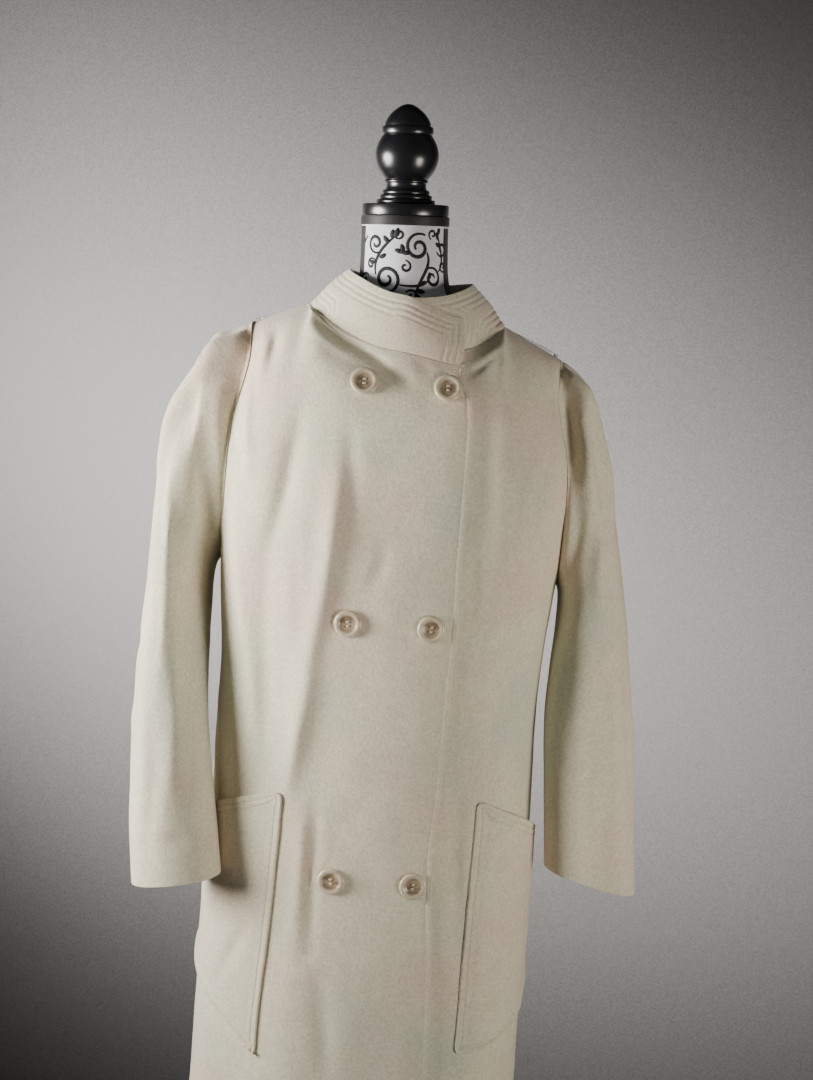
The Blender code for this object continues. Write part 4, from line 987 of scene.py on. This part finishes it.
def stemPath(ends):
    points = []
    for step in range(printLook["steps"] + 1):
        share = step / printLook["steps"]
        rest = 1.0 - share
        weights = (rest ** 3, 3 * rest * rest * share, 3 * rest * share * share, share ** 3)
        points.append(tuple(sum(weight * end[axis] for weight, end in zip(weights, ends)) for axis in (0, 1)))
    return points


def leafPath(foot, length, direction, bend):
    points, place = [foot], foot
    count = printLook["steps"] // 3
    for step in range(count):
        angle = math.radians(direction + bend * step / count)
        place = (place[0] + length / count * math.cos(angle), place[1] + length / count * math.sin(angle))
        points.append(place)
    return points


def onNeck(surface, across, up, lift, side=1):
    # a place of the print on the cover; side -1 turns the drawing to the back
    angle = across / 1000 / printLook["around"]
    way = Vector((math.sin(angle), -math.cos(angle) * side, 0.0))
    middle = leaned(Vector((0, 0, printLook["neckFoot"] + up / 1000)))
    place, _normal, _index, _distance = surface.ray_cast(middle, way)
    return place + way * lift


def drawStroke(shape, surface, path, widths, side=1, lift=None):
    # a flat ribbon along the path, one extrusion for each step
    lift = printLook["lift"] if lift is None else lift
    edge = None
    for number, (place, width) in enumerate(zip(path, widths)):
        before, after = path[max(0, number - 1)], path[min(len(path) - 1, number + 1)]
        run = Vector((after[0] - before[0], after[1] - before[1])).normalized() * width / 2
        ends = [onNeck(surface, place[0] - run.y * way, place[1] + run.x * way, lift, side) for way in (-1, 1)]
        if edge is None:
            edge = shape.edges.new([shape.verts.new(end) for end in ends])
            pair = list(edge.verts)
        else:
            made = bmesh.ops.extrude_edge_only(shape, edges=[edge])["geom"]
            edge = next(item for item in made if isinstance(item, bmesh.types.BMEdge)
                        and not any(vert in pair for vert in item.verts))
            follows = {vert: next(other for link in vert.link_edges for other in link.verts if other in pair)
                       for vert in edge.verts}
            newPair = sorted(edge.verts, key=lambda vert: pair.index(follows[vert]))
            for vert, end in zip(newPair, ends):
                vert.co = end
            pair = newPair


def swelling(count, width, least=0.35):
    return [width * (least + (1.0 - least) * math.sin(math.pi * (0.06 + 0.90 * step / (count - 1))) ** 0.7)
            for step in range(count)]


def makePrint(surface, finish):
    shape = bmesh.new()
    for side in (1, -1):
        for middle, radius, turns, start, way, width in scrolls:
            path = scrollPath(middle, radius, turns, start, way)
            drawStroke(shape, surface, path, swelling(len(path), width), side)
        for first, near, far, last, width in stems:
            path = stemPath((first, near, far, last))
            drawStroke(shape, surface, path, swelling(len(path), width), side)
        for foot, length, direction, bend, width in leaves:
            path = leafPath(foot, length, direction, bend)
            drawStroke(shape, surface, path, swelling(len(path), width, 0.05), side)
    bmesh.ops.recalc_face_normals(shape, faces=shape.faces)
    mesh = evaluated(meshFrom(shape, "print"), "SOLIDIFY", thickness=printLook["thick"], offset=-1.0)
    belongs(asPiece("cover_print", mesh, finish), "ribbon")
    print("scrollwork", len(mesh.polygons), "faces")


tapeLook = {"places": (-70, 70), "strips": (-10.4, -5.2, 0.0, 5.2, 10.4), "width": 5.4, "foot": -38, "top": 84, "lift": 0.0006, "thick": 0.0005, "steps": 40}


def makeTapes(surface, finish):
    # the black tapes that cover the seams down both sides of the neck
    shape = bmesh.new()
    for middle in tapeLook["places"]:
        for strip in tapeLook["strips"]:
            path = [(middle + strip, tapeLook["foot"] + (tapeLook["top"] - tapeLook["foot"]) * step / tapeLook["steps"])
                    for step in range(tapeLook["steps"] + 1)]
            drawStroke(shape, surface, path, [tapeLook["width"]] * len(path), lift=tapeLook["lift"])
    bmesh.ops.recalc_face_normals(shape, faces=shape.faces)
    mesh = evaluated(meshFrom(shape, "tapes"), "SOLIDIFY", thickness=tapeLook["thick"], offset=-1.0)
    belongs(asPiece("neck_tapes", mesh, finish), "ribbon")
    print("neck tapes", len(mesh.polygons), "faces")


def turnedPiece(name, profile, finish, slotName, leaning=True, steps=None):
    # profile of (radius, height) from the top of the axis down the outer side to the foot
    shape = spunShape(profile, steps or neckLook["steps"])
    if leaning:
        for vert in shape.verts:
            vert.co = leaned(vert.co)
    piece = asPiece(name + "_turned", meshFrom(shape, name), finish)
    piece.data.set_sharp_from_angle(angle=math.radians(38))
    return belongs(piece, slotName, name)


# stretches of the finial's outline (height above its foot, radius), smooth within and crisp between
finialFoot = 1.5093
finialOutline = (
    ((0.0000, 0.0332), (0.0008, 0.0342), (0.0026, 0.0345), (0.0042, 0.0342), (0.0050, 0.0332)),
    ((0.0053, 0.0296), (0.0062, 0.0305), (0.0080, 0.0308), (0.0098, 0.0304), (0.0106, 0.0294)),
    ((0.0109, 0.0266), (0.0120, 0.0276), (0.0138, 0.0278), (0.0155, 0.0272), (0.0162, 0.0262)),
    ((0.0165, 0.0246), (0.0190, 0.0236), (0.0220, 0.0234), (0.0240, 0.0238)),
    ((0.0242, 0.0244), (0.0254, 0.0254), (0.0270, 0.0255), (0.0282, 0.0248)),
    ((0.0285, 0.0252), (0.0340, 0.0296), (0.0410, 0.0338), (0.0500, 0.0366), (0.0580, 0.0372),
     (0.0660, 0.0357), (0.0730, 0.0328), (0.0790, 0.0290)),
    ((0.0794, 0.0282), (0.0806, 0.0294), (0.0830, 0.0302), (0.0862, 0.0302), (0.0884, 0.0296), (0.0894, 0.0284)),
    ((0.0898, 0.0272), (0.0940, 0.0264), (0.0990, 0.0239), (0.1040, 0.0201), (0.1085, 0.0152),
     (0.1125, 0.0096), (0.1148, 0.0042), (0.1153, 0.0)),
)


def finialProfile():
    points = []
    for stretch in finialOutline:
        last = len(stretch) - 1
        for index in range(last):
            corners = [Vector(stretch[min(last, max(0, index + step))]) for step in (-1, 0, 1, 2)]
            for step in range(4):
                share = step / 4
                slopes = [(corners[2] - corners[0]) / 2, (corners[3] - corners[1]) / 2]
                points.append(corners[1] * (2 * share ** 3 - 3 * share ** 2 + 1)
                              + slopes[0] * (share ** 3 - 2 * share ** 2 + share)
                              + corners[2] * (3 * share ** 2 - 2 * share ** 3)
                              + slopes[1] * (share ** 3 - share ** 2))
        points.append(Vector(stretch[last]))
    profile = [(max(0.0, radius), finialFoot + height) for height, radius in reversed(points)]
    return profile + [(0.0, finialFoot)]


def bevelledDisc(radius, low, high, rounding):
    return ((0.0, high), (radius - rounding, high), (radius - rounding * 0.3, high - rounding * 0.3),
            (radius, high - rounding), (radius, low + rounding), (radius - rounding * 0.3, low + rounding * 0.3),
            (radius - rounding, low), (0.0, low))


standLook = {
    "band": (0.0521, 1.4843, 1.4952, 0.0009),      # radius, low, high, rounding
    "disc": (0.0510, 1.4955, 1.5090, 0.0016),
    "pole": (0.0125, 0.0223, 0.6202, 0.0010),
    "base": ((0.0, 0.0220), (0.0290, 0.0220), (0.0300, 0.0217), (0.0325, 0.0165), (0.0350, 0.0146),
             (0.0380, 0.0139), (0.1560, 0.0092), (0.1640, 0.0080), (0.1688, 0.0058), (0.1700, 0.0042),
             (0.1700, 0.0008), (0.1692, 0.0), (0.0, 0.0)),
}


def makeStand(ribbon, lacquer, paint):
    turnedPiece("neck_band", bevelledDisc(*standLook["band"]), ribbon, "ribbon")
    turnedPiece("neck_disc", bevelledDisc(*standLook["disc"]), lacquer, "lacquer")
    turnedPiece("finial", finialProfile(), lacquer, "lacquer")
    turnedPiece("pole", bevelledDisc(*standLook["pole"]), paint, "stand", leaning=False, steps=48)
    turnedPiece("base", standLook["base"], paint, "stand", leaning=False)
    print("stand and finial ready")


def stagePlane(name, size, finish, matrix):
    shape = bmesh.new()
    bmesh.ops.create_grid(shape, x_segments=1, y_segments=1, size=size)
    bmesh.ops.transform(shape, matrix=matrix, verts=shape.verts)
    plane = asPiece(name, meshFrom(shape, name), finish)


placeCamera()
for lightName in ("key", "fill", "back"):
    softLight(lightName)
world = bpy.data.worlds.new("air")
world.use_nodes = True
world.node_tree.nodes["Background"].inputs["Color"].default_value = (*studio["air"], 1.0)
world.node_tree.nodes["Background"].inputs["Strength"].default_value = studio["airStrength"]
bpy.context.scene.world = world
stagePlane("floor", 6.0, floorFinish(), Matrix.Identity(4))
stagePlane("wall", 3.0, wallFinish(), Matrix.Translation((0, studio["wallPlace"], 1.5))
           @ Matrix.Rotation(math.radians(90), 4, "X"))
print("studio ready")

wool = woolFinish()
thread = threadFinish()
for clothName in clothPieces:
    makeCloth(clothName, wool)
makeStitches(thread)
makeButtons(hornFinish(), thread)
print("coat ready")

blackPrint = printFinish()
ribbon = ribbonFinish()
coverPiece, coverSurface = makeCover(coverFinish())
makePrint(coverSurface, blackPrint)
makeTapes(coverSurface, ribbon)
makeStand(ribbon, lacquerFinish("blackLacquer", 0.30, 40.0), lacquerFinish("blackPaint", 0.32, 180.0))
print("form ready")
